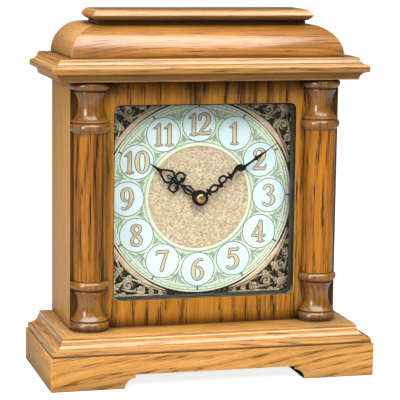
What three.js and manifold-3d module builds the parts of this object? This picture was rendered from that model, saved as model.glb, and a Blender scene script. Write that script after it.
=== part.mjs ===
// Mantel clock: an oak case on a moulded plinth, with turned half columns, a square
// glazed dial, pierced hands and a battery quartz movement behind a hinged back door.
// Millimetres, +Z up, front towards -Y, origin under the middle of the footprint.

import * as THREE from 'three';
import { mergeVertices } from 'three/addons/utils/BufferGeometryUtils.js';
import Module from 'manifold-3d';

const wasm = await Module();
wasm.setup();

// ---- driving dimensions ----
const GAP = 0.25;                 // glue line or working gap between touching pieces
const BACK_Y = 61;                // common rear plane
const CASE_FRONT_Y = -21;         // face of the front panel

const PLINTH_HALF = 140;
const PLINTH_FRONT_Y = -61;
const PLINTH_BOARD = 15;
const PLINTH_TOP_Z = 28.2;
const ARCH_HALF = 69;
const ARCH_TOP_Z = 11.5;
const ARCH_FLARE = 8.9;           // radius of the quarter round at the inner end of each foot

const BASE_TOP_Z = 42.8;
const CASE_HALF = 116.8;
const CASE_TOP_Z = 252.2;
const PANEL = 12;                 // thickness of the case boards

const COLUMN_X = 100.3;
const COLUMN_END = 42.5;          // height of a turned base or capital
const SHAFT_R = 13.8;

const CORNICE_HALF = 136.2;
const CORNICE_FRONT_Y = -45.5;
const CORNICE_TOP_Z = 271.1;

const HOOD_HALF = 117.8;
const HOOD_FRONT_Y = -31.5;
const HOOD_R = 26.4;
const HOOD_TOP_BOARD = 10;

const CAP_HALF = 95.8;
const CAP_FRONT_Y = -13.2;
const CAP_BACK_Y = 38;
const CAP_BOTTOM_Z = 300.6;
const TOTAL_Z = 310;

const WINDOW_HALF = 79.4;
const WINDOW_BOTTOM_Z = 65.5;
const WINDOW_TOP_Z = 231.5;
const WINDOW_CORNER = 5.8;
const GLASS = 3;

const DIAL_Z = 149;
const DIAL_Y = 3;                 // front face of the dial plate
const DIAL_HALF = 88;
const RING_R = 83;
const RING_INNER_R = 44.4;
const CENTRE_HOLE_R = 5;

const MINUTE_ANGLE = 55.8;        // degrees clockwise from twelve
const HOUR_ANGLE = 304.65;
const HOUR_HAND_Y = -1.6;
const MINUTE_HAND_Y = -5;
const HAND_THICK = 0.6;

const MOVEMENT_HALF = 28;
const MOVEMENT_FRONT_Y = 4.6;
const MOVEMENT_BACK_Y = 21.6;
const MOVEMENT_BOTTOM_Z = 115;
const MOVEMENT_TOP_Z = 171;
const MOVEMENT_WALL = 1.5;
const BAY_TOP_Z = 132;            // partition over the battery bay

const DOOR_HALF = 76;
const DOOR_BOTTOM_Z = 74;
const DOOR_TOP_Z = 222;
const DOOR_FRONT_Y = 44;
const DOOR_THICK = 6;
const HINGE_AXIS_Y = DOOR_FRONT_Y + DOOR_THICK + 2.3;

const DEG = Math.PI / 180;

// ---- finishes ----
function finish(color, roughness, metalness = 0) {
  return () => new THREE.MeshStandardMaterial({ color, roughness, metalness });
}
const OAK = finish(0xb3762c, 0.35);
const OAK_SIDE = finish(0xb98a56, 0.45);
const OAK_TURNED = finish(0xb5722a, 0.3);
const HARDBOARD = finish(0x6f4a2b, 0.8);
const BLACK = finish(0x151311, 0.6);
const HAND_BLACK = finish(0x0d0c0b, 0.35, 0.3);
const BRASS = finish(0xc79a45, 0.3, 1);
const ANTIQUE = finish(0x7a6a45, 0.4, 0.8);
const DIAL_GREEN = finish(0xd8f0d0, 0.45);
const DIAL_GOLD = finish(0xcdb083, 0.45, 0.3);
const PLASTIC = finish(0xb9b7b0, 0.5);
const WHEEL = finish(0xe9e6da, 0.5);
const STEEL = finish(0x9fa2a5, 0.35, 1);
const COPPER = finish(0xb8663c, 0.35, 1);
const BOARD_GREEN = finish(0x2f6b3c, 0.5);
const CELL = finish(0x3a4b78, 0.4);

// ---- solids ----
const clock = new THREE.Group();

function add(name, geometry, material) {
  const mesh = new THREE.Mesh(geometry, material());
  mesh.name = name;
  clock.add(mesh);
  return mesh;
}

function solidOf(geometry) {
  const bare = geometry.clone();
  bare.deleteAttribute('normal');
  bare.deleteAttribute('uv');
  const merged = mergeVertices(bare, 1e-4);
  const vertProperties = new Float32Array(merged.attributes.position.array);
  const triVerts = new Uint32Array(merged.index.array);
  return new wasm.Manifold(new wasm.Mesh({ numProp: 3, vertProperties, triVerts }));
}

function geometryOf(solid) {
  const mesh = solid.getMesh();
  const geometry = new THREE.BufferGeometry();
  geometry.setAttribute('position', new THREE.BufferAttribute(new Float32Array(mesh.vertProperties), 3));
  geometry.setIndex(new THREE.BufferAttribute(new Uint32Array(mesh.triVerts), 1));
  return geometry;
}

function join(first, ...others) {
  return geometryOf(others.reduce((sum, next) => sum.add(solidOf(next)), solidOf(first)));
}

function cut(body, ...tools) {
  return geometryOf(tools.reduce((rest, tool) => rest.subtract(solidOf(tool)), solidOf(body)));
}

function box(x0, x1, y0, y1, z0, z1) {
  const geometry = new THREE.BoxGeometry(x1 - x0, y1 - y0, z1 - z0);
  return geometry.translate((x0 + x1) / 2, (y0 + y1) / 2, (z0 + z1) / 2);
}

// An outline drawn as seen from the front, given thickness from y0 back to y1.
function plate(shape, y0, y1, curveSegments = 8) {
  const geometry = new THREE.ExtrudeGeometry(shape, { depth: y1 - y0, bevelEnabled: false, curveSegments });
  return geometry.rotateX(90 * DEG).translate(0, y1, 0);
}

// A cylinder whose axis runs front to back through x, z.
function rod(radius, x, z, y0, y1, sides = 24) {
  const geometry = new THREE.CylinderGeometry(radius, radius, y1 - y0, sides);
  return geometry.translate(x, (y0 + y1) / 2, z);
}

function outline(points) {
  return new THREE.Shape(points.map(([x, y]) => new THREE.Vector2(x, y)));
}

function roundedRect(x0, x1, z0, z1, r) {
  const shape = new THREE.Shape();
  shape.moveTo(x0 + r, z0);
  shape.absarc(x1 - r, z0 + r, r, -90 * DEG, 0);
  shape.absarc(x1 - r, z1 - r, r, 0, 90 * DEG);
  shape.absarc(x0 + r, z1 - r, r, 90 * DEG, 180 * DEG);
  shape.absarc(x0 + r, z0 + r, r, 180 * DEG, 270 * DEG);
  return shape;
}

function disc(radius, x = 0, z = 0) {
  const shape = new THREE.Shape();
  shape.absarc(x, z, radius, 0, 360 * DEG);
  return shape;
}

function ring(outer, inner, x = 0, z = 0) {
  const shape = disc(outer, x, z);
  shape.holes.push(disc(inner, x, z));
  return shape;
}

// Points of an arc in a moulding's section, where each point is [inset, height].
function arc(cx, cy, r, fromDeg, toDeg, steps) {
  const points = [];
  for (let i = 0; i <= steps; i += 1) {
    const a = (fromDeg + ((toDeg - fromDeg) * i) / steps) * DEG;
    points.push([cx + r * Math.cos(a), cy + r * Math.sin(a)]);
  }
  return points;
}

// A closed section carried straight from one end to the other. start and end
// turn a section point into a place in space, so the ends can be mitred.
function strip(section, start, end) {
  const flat = section.map(([s, h]) => new THREE.Vector2(s, h));
  if (THREE.ShapeUtils.isClockWise(flat)) flat.reverse();
  const count = flat.length;
  const positions = [];
  flat.forEach((point) => positions.push(...start(point.x, point.y)));
  flat.forEach((point) => positions.push(...end(point.x, point.y)));
  const index = [];
  THREE.ShapeUtils.triangulateShape(flat, []).forEach(([a, b, c]) => {
    index.push(a, c, b, a + count, b + count, c + count);
  });
  for (let i = 0; i < count; i += 1) {
    const next = (i + 1) % count;
    index.push(i, next, next + count, i, next + count, i + count);
  }
  return outward(positions, index);
}

function outward(positions, index) {
  let volume = 0;
  const corner = (i) => new THREE.Vector3(positions[3 * i], positions[3 * i + 1], positions[3 * i + 2]);
  for (let i = 0; i < index.length; i += 3) {
    const [a, b, c] = [corner(index[i]), corner(index[i + 1]), corner(index[i + 2])];
    volume += a.dot(b.cross(c));
  }
  const geometry = new THREE.BufferGeometry();
  geometry.setAttribute('position', new THREE.Float32BufferAttribute(positions, 3));
  geometry.setIndex(volume > 0 ? index : index.slice().reverse());
  return geometry;
}

// A board whose front and two ends carry a moulding; the rear edge is square.
function mouldedBoard(profile, half, frontY, backY, bottomZ, mouldedBack = false) {
  const positions = [];
  profile.forEach(([inset, height]) => {
    const back = mouldedBack ? backY - inset : backY;
    const z = bottomZ + height;
    positions.push(-(half - inset), frontY + inset, z, half - inset, frontY + inset, z);
    positions.push(half - inset, back, z, -(half - inset), back, z);
  });
  const index = [0, 2, 1, 0, 3, 2];
  for (let level = 0; level < profile.length - 1; level += 1) {
    for (let i = 0; i < 4; i += 1) {
      const a = 4 * level + i;
      const b = 4 * level + ((i + 1) % 4);
      index.push(a, b, b + 4, a, b + 4, a + 4);
    }
  }
  const top = 4 * (profile.length - 1);
  index.push(top, top + 1, top + 2, top, top + 2, top + 3);
  return outward(positions, index);
}

// ---- plinth: bracket-foot front, plain sides and back, mitred at the front corners, with a
// ---- blacked block behind each foot that carries the base board ----
function buildPlinth() {
  const inner = PLINTH_HALF - PLINTH_BOARD;
  const front = new THREE.Shape();
  front.moveTo(-PLINTH_HALF, 0);
  front.lineTo(-ARCH_HALF - ARCH_FLARE, 0);
  front.absarc(-ARCH_HALF, 0, ARCH_FLARE, 180 * DEG, 90 * DEG, true);
  front.lineTo(-ARCH_HALF, ARCH_TOP_Z);
  front.lineTo(ARCH_HALF, ARCH_TOP_Z);
  front.absarc(ARCH_HALF, 0, ARCH_FLARE, 90 * DEG, 0, true);
  front.lineTo(PLINTH_HALF, 0);
  front.lineTo(PLINTH_HALF, PLINTH_TOP_Z);
  front.lineTo(-PLINTH_HALF, PLINTH_TOP_Z);
  const board = plate(front, PLINTH_FRONT_Y, PLINTH_FRONT_Y + PLINTH_BOARD, 5);
  const mitres = [-1, 1].map((side) => strip(
    [[0, -1], [PLINTH_BOARD + 1, -1], [PLINTH_BOARD + 1, PLINTH_TOP_Z + 1], [0, PLINTH_TOP_Z + 1]],
    (s, h) => [side * (PLINTH_HALF - s + GAP), PLINTH_FRONT_Y + s, h],
    (s, h) => [side * (PLINTH_HALF + 2), PLINTH_FRONT_Y + s, h],
  ));
  add('plinth_front', cut(board, ...mitres), OAK);

  [['plinth_left', -1], ['plinth_right', 1]].forEach(([name, side]) => {
    const section = [[0, 0], [PLINTH_BOARD, 0], [PLINTH_BOARD, PLINTH_TOP_Z], [0, PLINTH_TOP_Z]];
    const geometry = strip(
      section,
      (s, h) => [side * (PLINTH_HALF - s), PLINTH_FRONT_Y + s + GAP, h],
      (s, h) => [side * (PLINTH_HALF - s), BACK_Y, h],
    );
    add(name, geometry, OAK_SIDE);
  });
  const width = inner - GAP;
  const backFront = BACK_Y - PANEL;
  add('plinth_back', box(-width, width, backFront, BACK_Y - 1, 0, PLINTH_TOP_Z), OAK_SIDE);

  const footInner = ARCH_HALF + ARCH_FLARE + GAP;
  const blockFront = PLINTH_FRONT_Y + PLINTH_BOARD + GAP;
  const block = () => box(footInner, width, blockFront, backFront - GAP, 0, PLINTH_TOP_Z);
  add('foot_block_left', block().translate(-footInner - width, 0, 0), BLACK);
  add('foot_block_right', block(), BLACK);
}

// ---- base board: rounded nose, cove and a small square fillet ----
const BASE_HEIGHT = BASE_TOP_Z - PLINTH_TOP_Z - GAP;
const BASE_PROFILE = [
  [0, 0],
  [0.5, 1.4],
  ...arc(2.0, 11.6, 7.8, 270, 354, 6),
  [11.5, 11.0],
  [11.8, BASE_HEIGHT],
];

// ---- cornice: cove under a square lip, and a cove above it ----
const CORNICE_HEIGHT = CORNICE_TOP_Z - CASE_TOP_Z;
const CORNICE_PROFILE = [
  [7.2, 0],
  ...arc(0.7, 0.3, 6.5, 4, 90, 5),
  [0, 7.6],
  [0, 11.7],
  ...arc(0.4, CORNICE_HEIGHT + 0.4, 6.9, 270, 354, 5),
  [7.5, CORNICE_HEIGHT],
];

function buildCase() {
  const baseBottom = PLINTH_TOP_Z + GAP;
  add('base_moulding', mouldedBoard(BASE_PROFILE, PLINTH_HALF, PLINTH_FRONT_Y, BACK_Y, baseBottom), OAK);

  const low = BASE_TOP_Z + GAP;
  const high = CASE_TOP_Z - GAP;
  const inside = CASE_HALF - PANEL;
  add('side_panel_left', box(-CASE_HALF, -inside, CASE_FRONT_Y, BACK_Y, low, high), OAK_SIDE);
  add('side_panel_right', box(inside, CASE_HALF, CASE_FRONT_Y, BACK_Y, low, high), OAK_SIDE);

  const edge = inside - GAP;
  const panel = outline([[-edge, low], [edge, low], [edge, high], [-edge, high]]);
  panel.holes.push(roundedRect(-WINDOW_HALF, WINDOW_HALF, WINDOW_BOTTOM_Z, WINDOW_TOP_Z, WINDOW_CORNER));
  add('front_panel', plate(panel, CASE_FRONT_Y, CASE_FRONT_Y + PANEL, 4), OAK);

  const cornice = mouldedBoard(CORNICE_PROFILE, CORNICE_HALF, CORNICE_FRONT_Y, BACK_Y, CASE_TOP_Z);
  add('cornice', cornice, OAK);
}

// ---- half columns: turned base and capital with a plain shaft between them ----
const TURNED_END = [
  [0, 0], [16.1, 0], [17.2, 4.4], [16.2, 9.2], [13.2, 12.6], [10.9, 21.0], [12.0, 29.6], [13.9, 33.0],
  [13.2, 34.4], [15.8, 35.0], [17.3, 38.6], [15.6, COLUMN_END - 0.4], [0, COLUMN_END - 0.4],
];

function halfTurned(profile, x, bottomZ) {
  const points = profile.map(([r, h]) => new THREE.Vector2(r, h));
  const turned = new THREE.LatheGeometry(points, 24).rotateX(90 * DEG).translate(x, CASE_FRONT_Y, bottomZ);
  const behind = box(x - 30, x + 30, CASE_FRONT_Y - GAP, CASE_FRONT_Y + 40, bottomZ - 5, bottomZ + 250);
  return cut(turned, behind);
}

function buildColumns() {
  const low = BASE_TOP_Z + GAP;
  const high = CASE_TOP_Z - GAP;
  const shaftBottom = low + COLUMN_END;
  const shaftLength = high - COLUMN_END - shaftBottom;
  const shaft = [[0, 0], [SHAFT_R, 0], [SHAFT_R, shaftLength], [0, shaftLength]];
  [['left', -COLUMN_X], ['right', COLUMN_X]].forEach(([side, x]) => {
    add(`column_base_${side}`, halfTurned(TURNED_END, x, low), OAK_TURNED);
    add(`column_shaft_${side}`, halfTurned(shaft, x, shaftBottom), OAK_TURNED);
    add(`column_capital_${side}`, halfTurned(TURNED_END, x, high - COLUMN_END + 0.4), OAK_TURNED);
  });
}

// ---- hood: quarter-round mouldings mitred round a top board, with a cap above ----
function buildHood() {
  const bottom = CORNICE_TOP_Z + GAP;
  const radius = HOOD_R - GAP;
  const section = [[radius, 0], [0, 0], ...arc(radius, 0, radius, 180, 90, 8).slice(1)];
  const half = HOOD_HALF;
  add('hood_front', strip(
    section,
    (s, h) => [-(half - s - GAP), HOOD_FRONT_Y + s, bottom + h],
    (s, h) => [half - s - GAP, HOOD_FRONT_Y + s, bottom + h],
  ), OAK);
  [['hood_left', -1], ['hood_right', 1]].forEach(([name, side]) => {
    add(name, strip(
      section,
      (s, h) => [side * (half - s), HOOD_FRONT_Y + s + GAP, bottom + h],
      (s, h) => [side * (half - s), BACK_Y, bottom + h],
    ), OAK);
  });
  const topHalf = half - radius - GAP;
  const topFront = HOOD_FRONT_Y + radius + GAP;
  const top = bottom + radius;
  const under = top - HOOD_TOP_BOARD;
  add('hood_top_board', box(-topHalf, topHalf, topFront, BACK_Y, under, top), OAK);
  add('hood_back_rail', box(-topHalf, topHalf, BACK_Y - PANEL, BACK_Y, bottom, under - GAP), OAK_SIDE);

  const spacerInset = 5;
  const spacerFront = topFront - 0.5;
  const spacerHalf = CAP_HALF - spacerInset;
  const spacerBack = CAP_BACK_Y - spacerInset;
  const spacer = box(-spacerHalf, spacerHalf, spacerFront, spacerBack, top + GAP, CAP_BOTTOM_Z - GAP);
  add('cap_spacer', spacer, OAK_SIDE);
  const ridge = 4.6;
  const capProfile = [
    [5.8, 0], [3.6, 0.5], [1.5, 2.2], [0, ridge], [1.4, ridge + 2.6], [3.4, ridge + 4.3],
    [5.6, TOTAL_Z - CAP_BOTTOM_Z],
  ];
  const cap = mouldedBoard(capProfile, CAP_HALF, CAP_FRONT_Y, CAP_BACK_Y, CAP_BOTTOM_Z, true);
  add('cap_board', cap, OAK);
}

// ---- glazing and dial ----
function buildDial() {
  const glassFront = CASE_FRONT_Y + 0.5;
  const glassBack = glassFront + GLASS;
  const clear = 0.3;
  const inset = (d) => roundedRect(
    -WINDOW_HALF + d,
    WINDOW_HALF - d,
    WINDOW_BOTTOM_Z + d,
    WINDOW_TOP_Z - d,
    WINDOW_CORNER - d,
  );
  add('glass_pane', plate(inset(clear), glassFront, glassBack, 4), finish(0xdfeee6, 0.05));
  const bead = inset(clear);
  bead.holes.push(inset(clear + 0.9));
  add('glass_bead', plate(bead, glassBack + GAP, CASE_FRONT_Y + PANEL, 4), BLACK);

  const plateBottom = DIAL_Z - DIAL_HALF;
  const plateTop = DIAL_Z + DIAL_HALF;
  const battenHalf = DIAL_HALF + 8;
  const battens = roundedRect(-battenHalf, battenHalf, plateBottom - 8, plateTop + 8, 0.5);
  battens.holes.push(roundedRect(-DIAL_HALF + 3, DIAL_HALF - 3, plateBottom + 3, plateTop - 3, 0.5));
  add('dial_battens', plate(battens, CASE_FRONT_Y + PANEL + GAP, DIAL_Y - GAP, 1), BLACK);

  const sheet = roundedRect(-DIAL_HALF, DIAL_HALF, plateBottom, plateTop, 0.5);
  sheet.holes.push(disc(CENTRE_HOLE_R, 0, DIAL_Z));
  add('dial_plate', plate(sheet, DIAL_Y, DIAL_Y + 1.2, 8), ANTIQUE);

  const front = DIAL_Y - GAP;
  add('chapter_ring', plate(ring(RING_R, RING_INNER_R, 0, DIAL_Z), front - 0.8, front, 24), DIAL_GREEN);
  const centre = ring(RING_INNER_R - GAP, CENTRE_HOLE_R, 0, DIAL_Z);
  add('dial_centre', plate(centre, front - 0.5, front, 16), DIAL_GOLD);

  [['top_right', 1, 1], ['top_left', -1, 1], ['bottom_left', -1, -1], ['bottom_right', 1, -1]]
    .forEach(([corner, sx, sz]) => add(`spandrel_${corner}`, spandrel(sx, sz, front), ANTIQUE));
}

// A cast corner ornament that fills the space between the ring and the dial's corner.
function spandrel(sx, sz, back) {
  const edge = DIAL_HALF - 3.6;
  const innerR = RING_R + 0.6;
  const edgeAngle = 9;
  const points = arc(0, 0, innerR, edgeAngle, 90 - edgeAngle, 10);
  points.push([innerR * Math.sin(edgeAngle * DEG), edge], [edge, edge], [edge, innerR * Math.sin(edgeAngle * DEG)]);
  const placed = points.map(([x, z]) => [sx * x, DIAL_Z + sz * z]);
  return plate(outline(sx * sz > 0 ? placed : placed.reverse()), back - 1.4, back, 1);
}

// ---- hands: drawn pointing up from the arbor, then turned to the time shown ----
function handOutline(rightSide) {
  const left = rightSide.slice().reverse().map(([x, z]) => [-x, z]);
  return outline([...rightSide, ...left.filter(([x]) => x !== 0)]);
}

function loop(x, z, rx, rz, band) {
  const shape = new THREE.Shape();
  shape.absellipse(x, z, rx, rz, 0, 360 * DEG);
  const hole = new THREE.Path();
  hole.absellipse(x, z, rx - band, rz - band, 0, 360 * DEG);
  shape.holes.push(hole);
  return shape;
}

function turned(geometry, degrees) {
  return geometry.rotateY(degrees * DEG).translate(0, 0, DIAL_Z);
}

function buildHands() {
  const flat = (shape, y, segments = 8) => plate(shape, y - HAND_THICK / 2, y + HAND_THICK / 2, segments);

  const hourPieces = [
    flat(handOutline([[0.9, 4], [0.8, 13], [2.9, 15], [0.8, 17], [1.0, 21], [1.6, 29], [0.9, 30.5]]), HOUR_HAND_Y),
    flat(loop(5.1, 24.4, 4.8, 4.6, 1.5), HOUR_HAND_Y, 7),
    flat(loop(-5.1, 24.4, 4.8, 4.6, 1.5), HOUR_HAND_Y, 7),
    flat(handOutline([[1.4, 29], [4.4, 31], [5.6, 33.4], [4.9, 37], [2.8, 41], [1.3, 44], [0.35, 53]]), HOUR_HAND_Y),
    flat(disc(6.8), HOUR_HAND_Y, 12),
  ];
  const heart = [-1, 1].map((side) => {
    const points = [[0.7, 32], [2.7, 32.4], [3.9, 34], [3.4, 36.4], [1.9, 39.6], [0.7, 41.6]];
    const placed = points.map(([x, z]) => [side * x, z]);
    return plate(outline(side > 0 ? placed : placed.reverse()), HOUR_HAND_Y - 2, HOUR_HAND_Y + 2);
  });
  const hourBlank = cut(join(...hourPieces), ...heart, rod(2.6, 0, 0, -20, 20));
  add('hour_hand', turned(hourBlank, HOUR_ANGLE), HAND_BLACK);

  const minutePieces = [
    flat(handOutline([[0.8, 3], [0.7, 11], [0.9, 12], [0.9, 20], [0.9, 31], [3.3, 32.4], [2.2, 33.6], [3.2, 36],
      [1.9, 42], [2.6, 44.4], [1.0, 47], [0.6, 57], [1.9, 60.4], [0.6, 63.5], [0.3, 82]]), MINUTE_HAND_Y),
    flat(loop(2.6, 15, 2.9, 4.2, 1.2), MINUTE_HAND_Y, 6),
    flat(loop(-2.6, 15, 2.9, 4.2, 1.2), MINUTE_HAND_Y, 6),
    flat(loop(2.4, 25.6, 2.7, 4.6, 1.2), MINUTE_HAND_Y, 6),
    flat(loop(-2.4, 25.6, 2.7, 4.6, 1.2), MINUTE_HAND_Y, 6),
    flat(disc(4.4), MINUTE_HAND_Y, 10),
  ];
  const minuteBlank = cut(join(...minutePieces), rod(1.6, 0, 0, -20, 20));
  add('minute_hand', turned(minuteBlank, MINUTE_ANGLE), HAND_BLACK);

  const nut = new THREE.LatheGeometry(
    [[1.75, 0], [4.0, 0], [4.0, 1.5], [3.3, 2.3], [2.2, 2.9], [0, 3.3], [0, 2.6], [1.75, 2.2], [1.75, 0]]
      .map(([r, h]) => new THREE.Vector2(r, h)),
    12,
  );
  add('hand_nut', nut.rotateX(180 * DEG).translate(0, MINUTE_HAND_Y - HAND_THICK, DIAL_Z), BRASS);
}

// ---- quartz movement ----
// Tooth numbers: the centre wheel turns once an hour, the hour wheel once in twelve.
const TRAIN = {
  cannon: { teeth: 12, module: 0.4 },
  minute: { teeth: 36, module: 0.4 },
  minutePinion: { teeth: 10, module: 0.384 },
  hour: { teeth: 40, module: 0.384 },
  centre: { teeth: 64, module: 0.25 },
  thirdPinion: { teeth: 8, module: 0.25 },
  third: { teeth: 60, module: 0.25 },
  secondsPinion: { teeth: 8, module: 0.25 },
  seconds: { teeth: 30, module: 0.4 },
};
const pitchRadius = ({ teeth, module }) => (teeth * module) / 2;
const MINUTE_WHEEL_AT = { angle: 180, distance: pitchRadius(TRAIN.cannon) + pitchRadius(TRAIN.minute) };
const THIRD_AT = { angle: 60, distance: pitchRadius(TRAIN.centre) + pitchRadius(TRAIN.thirdPinion) };
const SECONDS_AT = { angle: 0, distance: pitchRadius(TRAIN.third) + pitchRadius(TRAIN.secondsPinion) };

function offset([x, z], { angle, distance }) {
  return [x + distance * Math.cos(angle * DEG), z + distance * Math.sin(angle * DEG)];
}
const CENTRE = [0, DIAL_Z];
const MINUTE_WHEEL = offset(CENTRE, MINUTE_WHEEL_AT);
const THIRD_WHEEL = offset(CENTRE, THIRD_AT);
const SECONDS_WHEEL = offset(THIRD_WHEEL, SECONDS_AT);

// A wheel with plain straight-sided teeth; one tooth points along toothAngle.
function gear({ teeth, module }, [x, z], toothAngle, y0, y1) {
  const tip = (teeth * module) / 2 + 0.7 * module;
  const root = (teeth * module) / 2 - 1.1 * module;
  const pitch = (360 / teeth) * DEG;
  const points = [];
  for (let i = 0; i < teeth; i += 1) {
    const at = toothAngle * DEG + i * pitch;
    [[root, -0.24], [tip, -0.12], [tip, 0.12], [root, 0.24]].forEach(([r, share]) => {
      points.push([x + r * Math.cos(at + share * pitch), z + r * Math.sin(at + share * pitch)]);
    });
  }
  return plate(outline(points), y0, y1, 1);
}

// The angle at which a follower's tooth must point to fall in a gap opposite its driver's tooth.
function meshAngle(lineAngle, teeth) {
  return lineAngle + 180 + 180 / teeth;
}

function buildMovement() {
  const wall = MOVEMENT_WALL;
  const half = MOVEMENT_HALF;
  const [front, back] = [MOVEMENT_FRONT_Y, MOVEMENT_BACK_Y];
  const inside = half - wall;
  const tray = cut(
    join(
      box(-half, half, front, back, MOVEMENT_BOTTOM_Z, MOVEMENT_TOP_Z),
      rod(4, 0, DIAL_Z, -0.6, front + 1),
    ),
    box(-inside, inside, front + wall, back + 1, BAY_TOP_Z + wall, MOVEMENT_TOP_Z - wall),
    box(-inside, inside, front + wall, back + 1, MOVEMENT_BOTTOM_Z + wall, BAY_TOP_Z),
    rod(2.85, 0, DIAL_Z, -5, front + 3),
  );
  add('movement_case', tray, PLASTIC);
  const cover = cut(
    box(-half, half, back + GAP, back + GAP + 1.4, BAY_TOP_Z, MOVEMENT_TOP_Z),
    rod(1.5, MINUTE_WHEEL[0], MINUTE_WHEEL[1], back - 1, back + 4, 16),
  );
  add('movement_cover', cover, PLASTIC);
  const hex = cut(rod(6.6, 0, DIAL_Z, 0.2, 2.1, 6), rod(4.25, 0, DIAL_Z, -1, 3));
  add('fixing_nut', hex, BRASS);

  buildTrain(back);
  buildDrive();

  const cellLow = MOVEMENT_BOTTOM_Z + wall + 0.6;
  const cellR = 7.1;
  const cellLength = 49;
  const cellZ = cellLow + cellR;
  const cellY = front + wall + cellR + 0.5;
  const cell = new THREE.LatheGeometry(
    [[0, 0], [cellR, 0], [cellR, cellLength], [2.6, cellLength], [2.6, cellLength + 1.2], [0, cellLength + 1.2]]
      .map(([r, h]) => new THREE.Vector2(r, h)),
    20,
  );
  add('battery', cell.rotateZ(-90 * DEG).translate(-cellLength / 2 - 0.4, cellY, cellZ), CELL);
  [['contact_negative', -1], ['contact_positive', 1]].forEach(([name, side]) => {
    const [near, far] = [inside - 0.9, inside - GAP].map((x) => side * x);
    const leaf = box(Math.min(near, far), Math.max(near, far), cellY - 5, cellY + 5, cellLow, cellZ + 5);
    add(name, leaf, STEEL);
  });
}

// The wheels, from the hour wheel at the front to the seconds wheel at the back.
function buildTrain(back) {
  add('centre_arbor', join(
    rod(1.4, 0, DIAL_Z, MINUTE_HAND_Y - HAND_THICK - 0.3, 13, 16),
    gear(TRAIN.cannon, CENTRE, MINUTE_WHEEL_AT.angle, 8.8, 11),
    gear(TRAIN.centre, CENTRE, THIRD_AT.angle, 11, 12),
  ), WHEEL);
  const hourMesh = gear(TRAIN.hour, CENTRE, MINUTE_WHEEL_AT.angle, 6.8, 7.9);
  const hourPipe = rod(2.5, 0, DIAL_Z, HOUR_HAND_Y - 0.8, 8.2, 20);
  add('hour_wheel', cut(join(hourMesh, hourPipe), rod(1.75, 0, DIAL_Z, -10, 20, 20)), WHEEL);

  const minuteLine = MINUTE_WHEEL_AT.angle;
  add('minute_wheel', join(
    gear(TRAIN.minutePinion, MINUTE_WHEEL, meshAngle(minuteLine, TRAIN.minutePinion.teeth), 6.6, 9),
    gear(TRAIN.minute, MINUTE_WHEEL, meshAngle(minuteLine, TRAIN.minute.teeth), 9, 10.3),
    rod(1, MINUTE_WHEEL[0], MINUTE_WHEEL[1], 10, back + 2.4, 12),
  ), WHEEL);
  const knobFront = back + 2.4 + GAP;
  const knob = gear({ teeth: 16, module: 0.75 }, MINUTE_WHEEL, 0, knobFront, knobFront + 5);
  add('setting_knob', knob, BLACK);

  add('third_wheel', join(
    gear(TRAIN.thirdPinion, THIRD_WHEEL, meshAngle(THIRD_AT.angle, TRAIN.thirdPinion.teeth), 10.6, 13.4),
    gear(TRAIN.third, THIRD_WHEEL, SECONDS_AT.angle, 13.4, 14.4),
    rod(0.6, THIRD_WHEEL[0], THIRD_WHEEL[1], 8.6, back - 0.4, 10),
  ), WHEEL);
  add('seconds_wheel', join(
    gear(TRAIN.secondsPinion, SECONDS_WHEEL, meshAngle(SECONDS_AT.angle, TRAIN.secondsPinion.teeth), 12.8, 15.4),
    gear(TRAIN.seconds, SECONDS_WHEEL, 0, 15.4, 16.4),
    rod(0.6, SECONDS_WHEEL[0], SECONDS_WHEEL[1], 8.6, back - 0.4, 10),
  ), WHEEL);
}

// The stepping motor and the board that drives it.
function buildDrive() {
  const [rotorX, rotorZ] = [-16, 158.5];
  const [y0, y1] = [14, 17];
  add('rotor', join(rod(3, rotorX, rotorZ, y0, y1, 16), rod(0.6, rotorX, rotorZ, 8.6, 20.6, 10)), STEEL);
  const arms = outline([
    [-25.5, 152], [-25.5, 168.5], [-6, 168.5], [-6, 166.5], [-11.5, 166.5], [-11.5, 152],
  ]);
  arms.holes.push(disc(3.6, rotorX, rotorZ));
  add('stator', plate(arms, y0 + 0.8, y0 + 1.8, 4), STEEL);
  const coil = new THREE.CylinderGeometry(2.6, 2.6, 17, 16).rotateZ(90 * DEG).translate(14.6, 17.6, 166);
  add('coil', cut(coil, box(0, 5.8, 0, 40, 150, 180)), COPPER);
  add('circuit_board', box(-26, -13, 18.6, 19.8, 135, 151), BOARD_GREEN);
}

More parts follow.
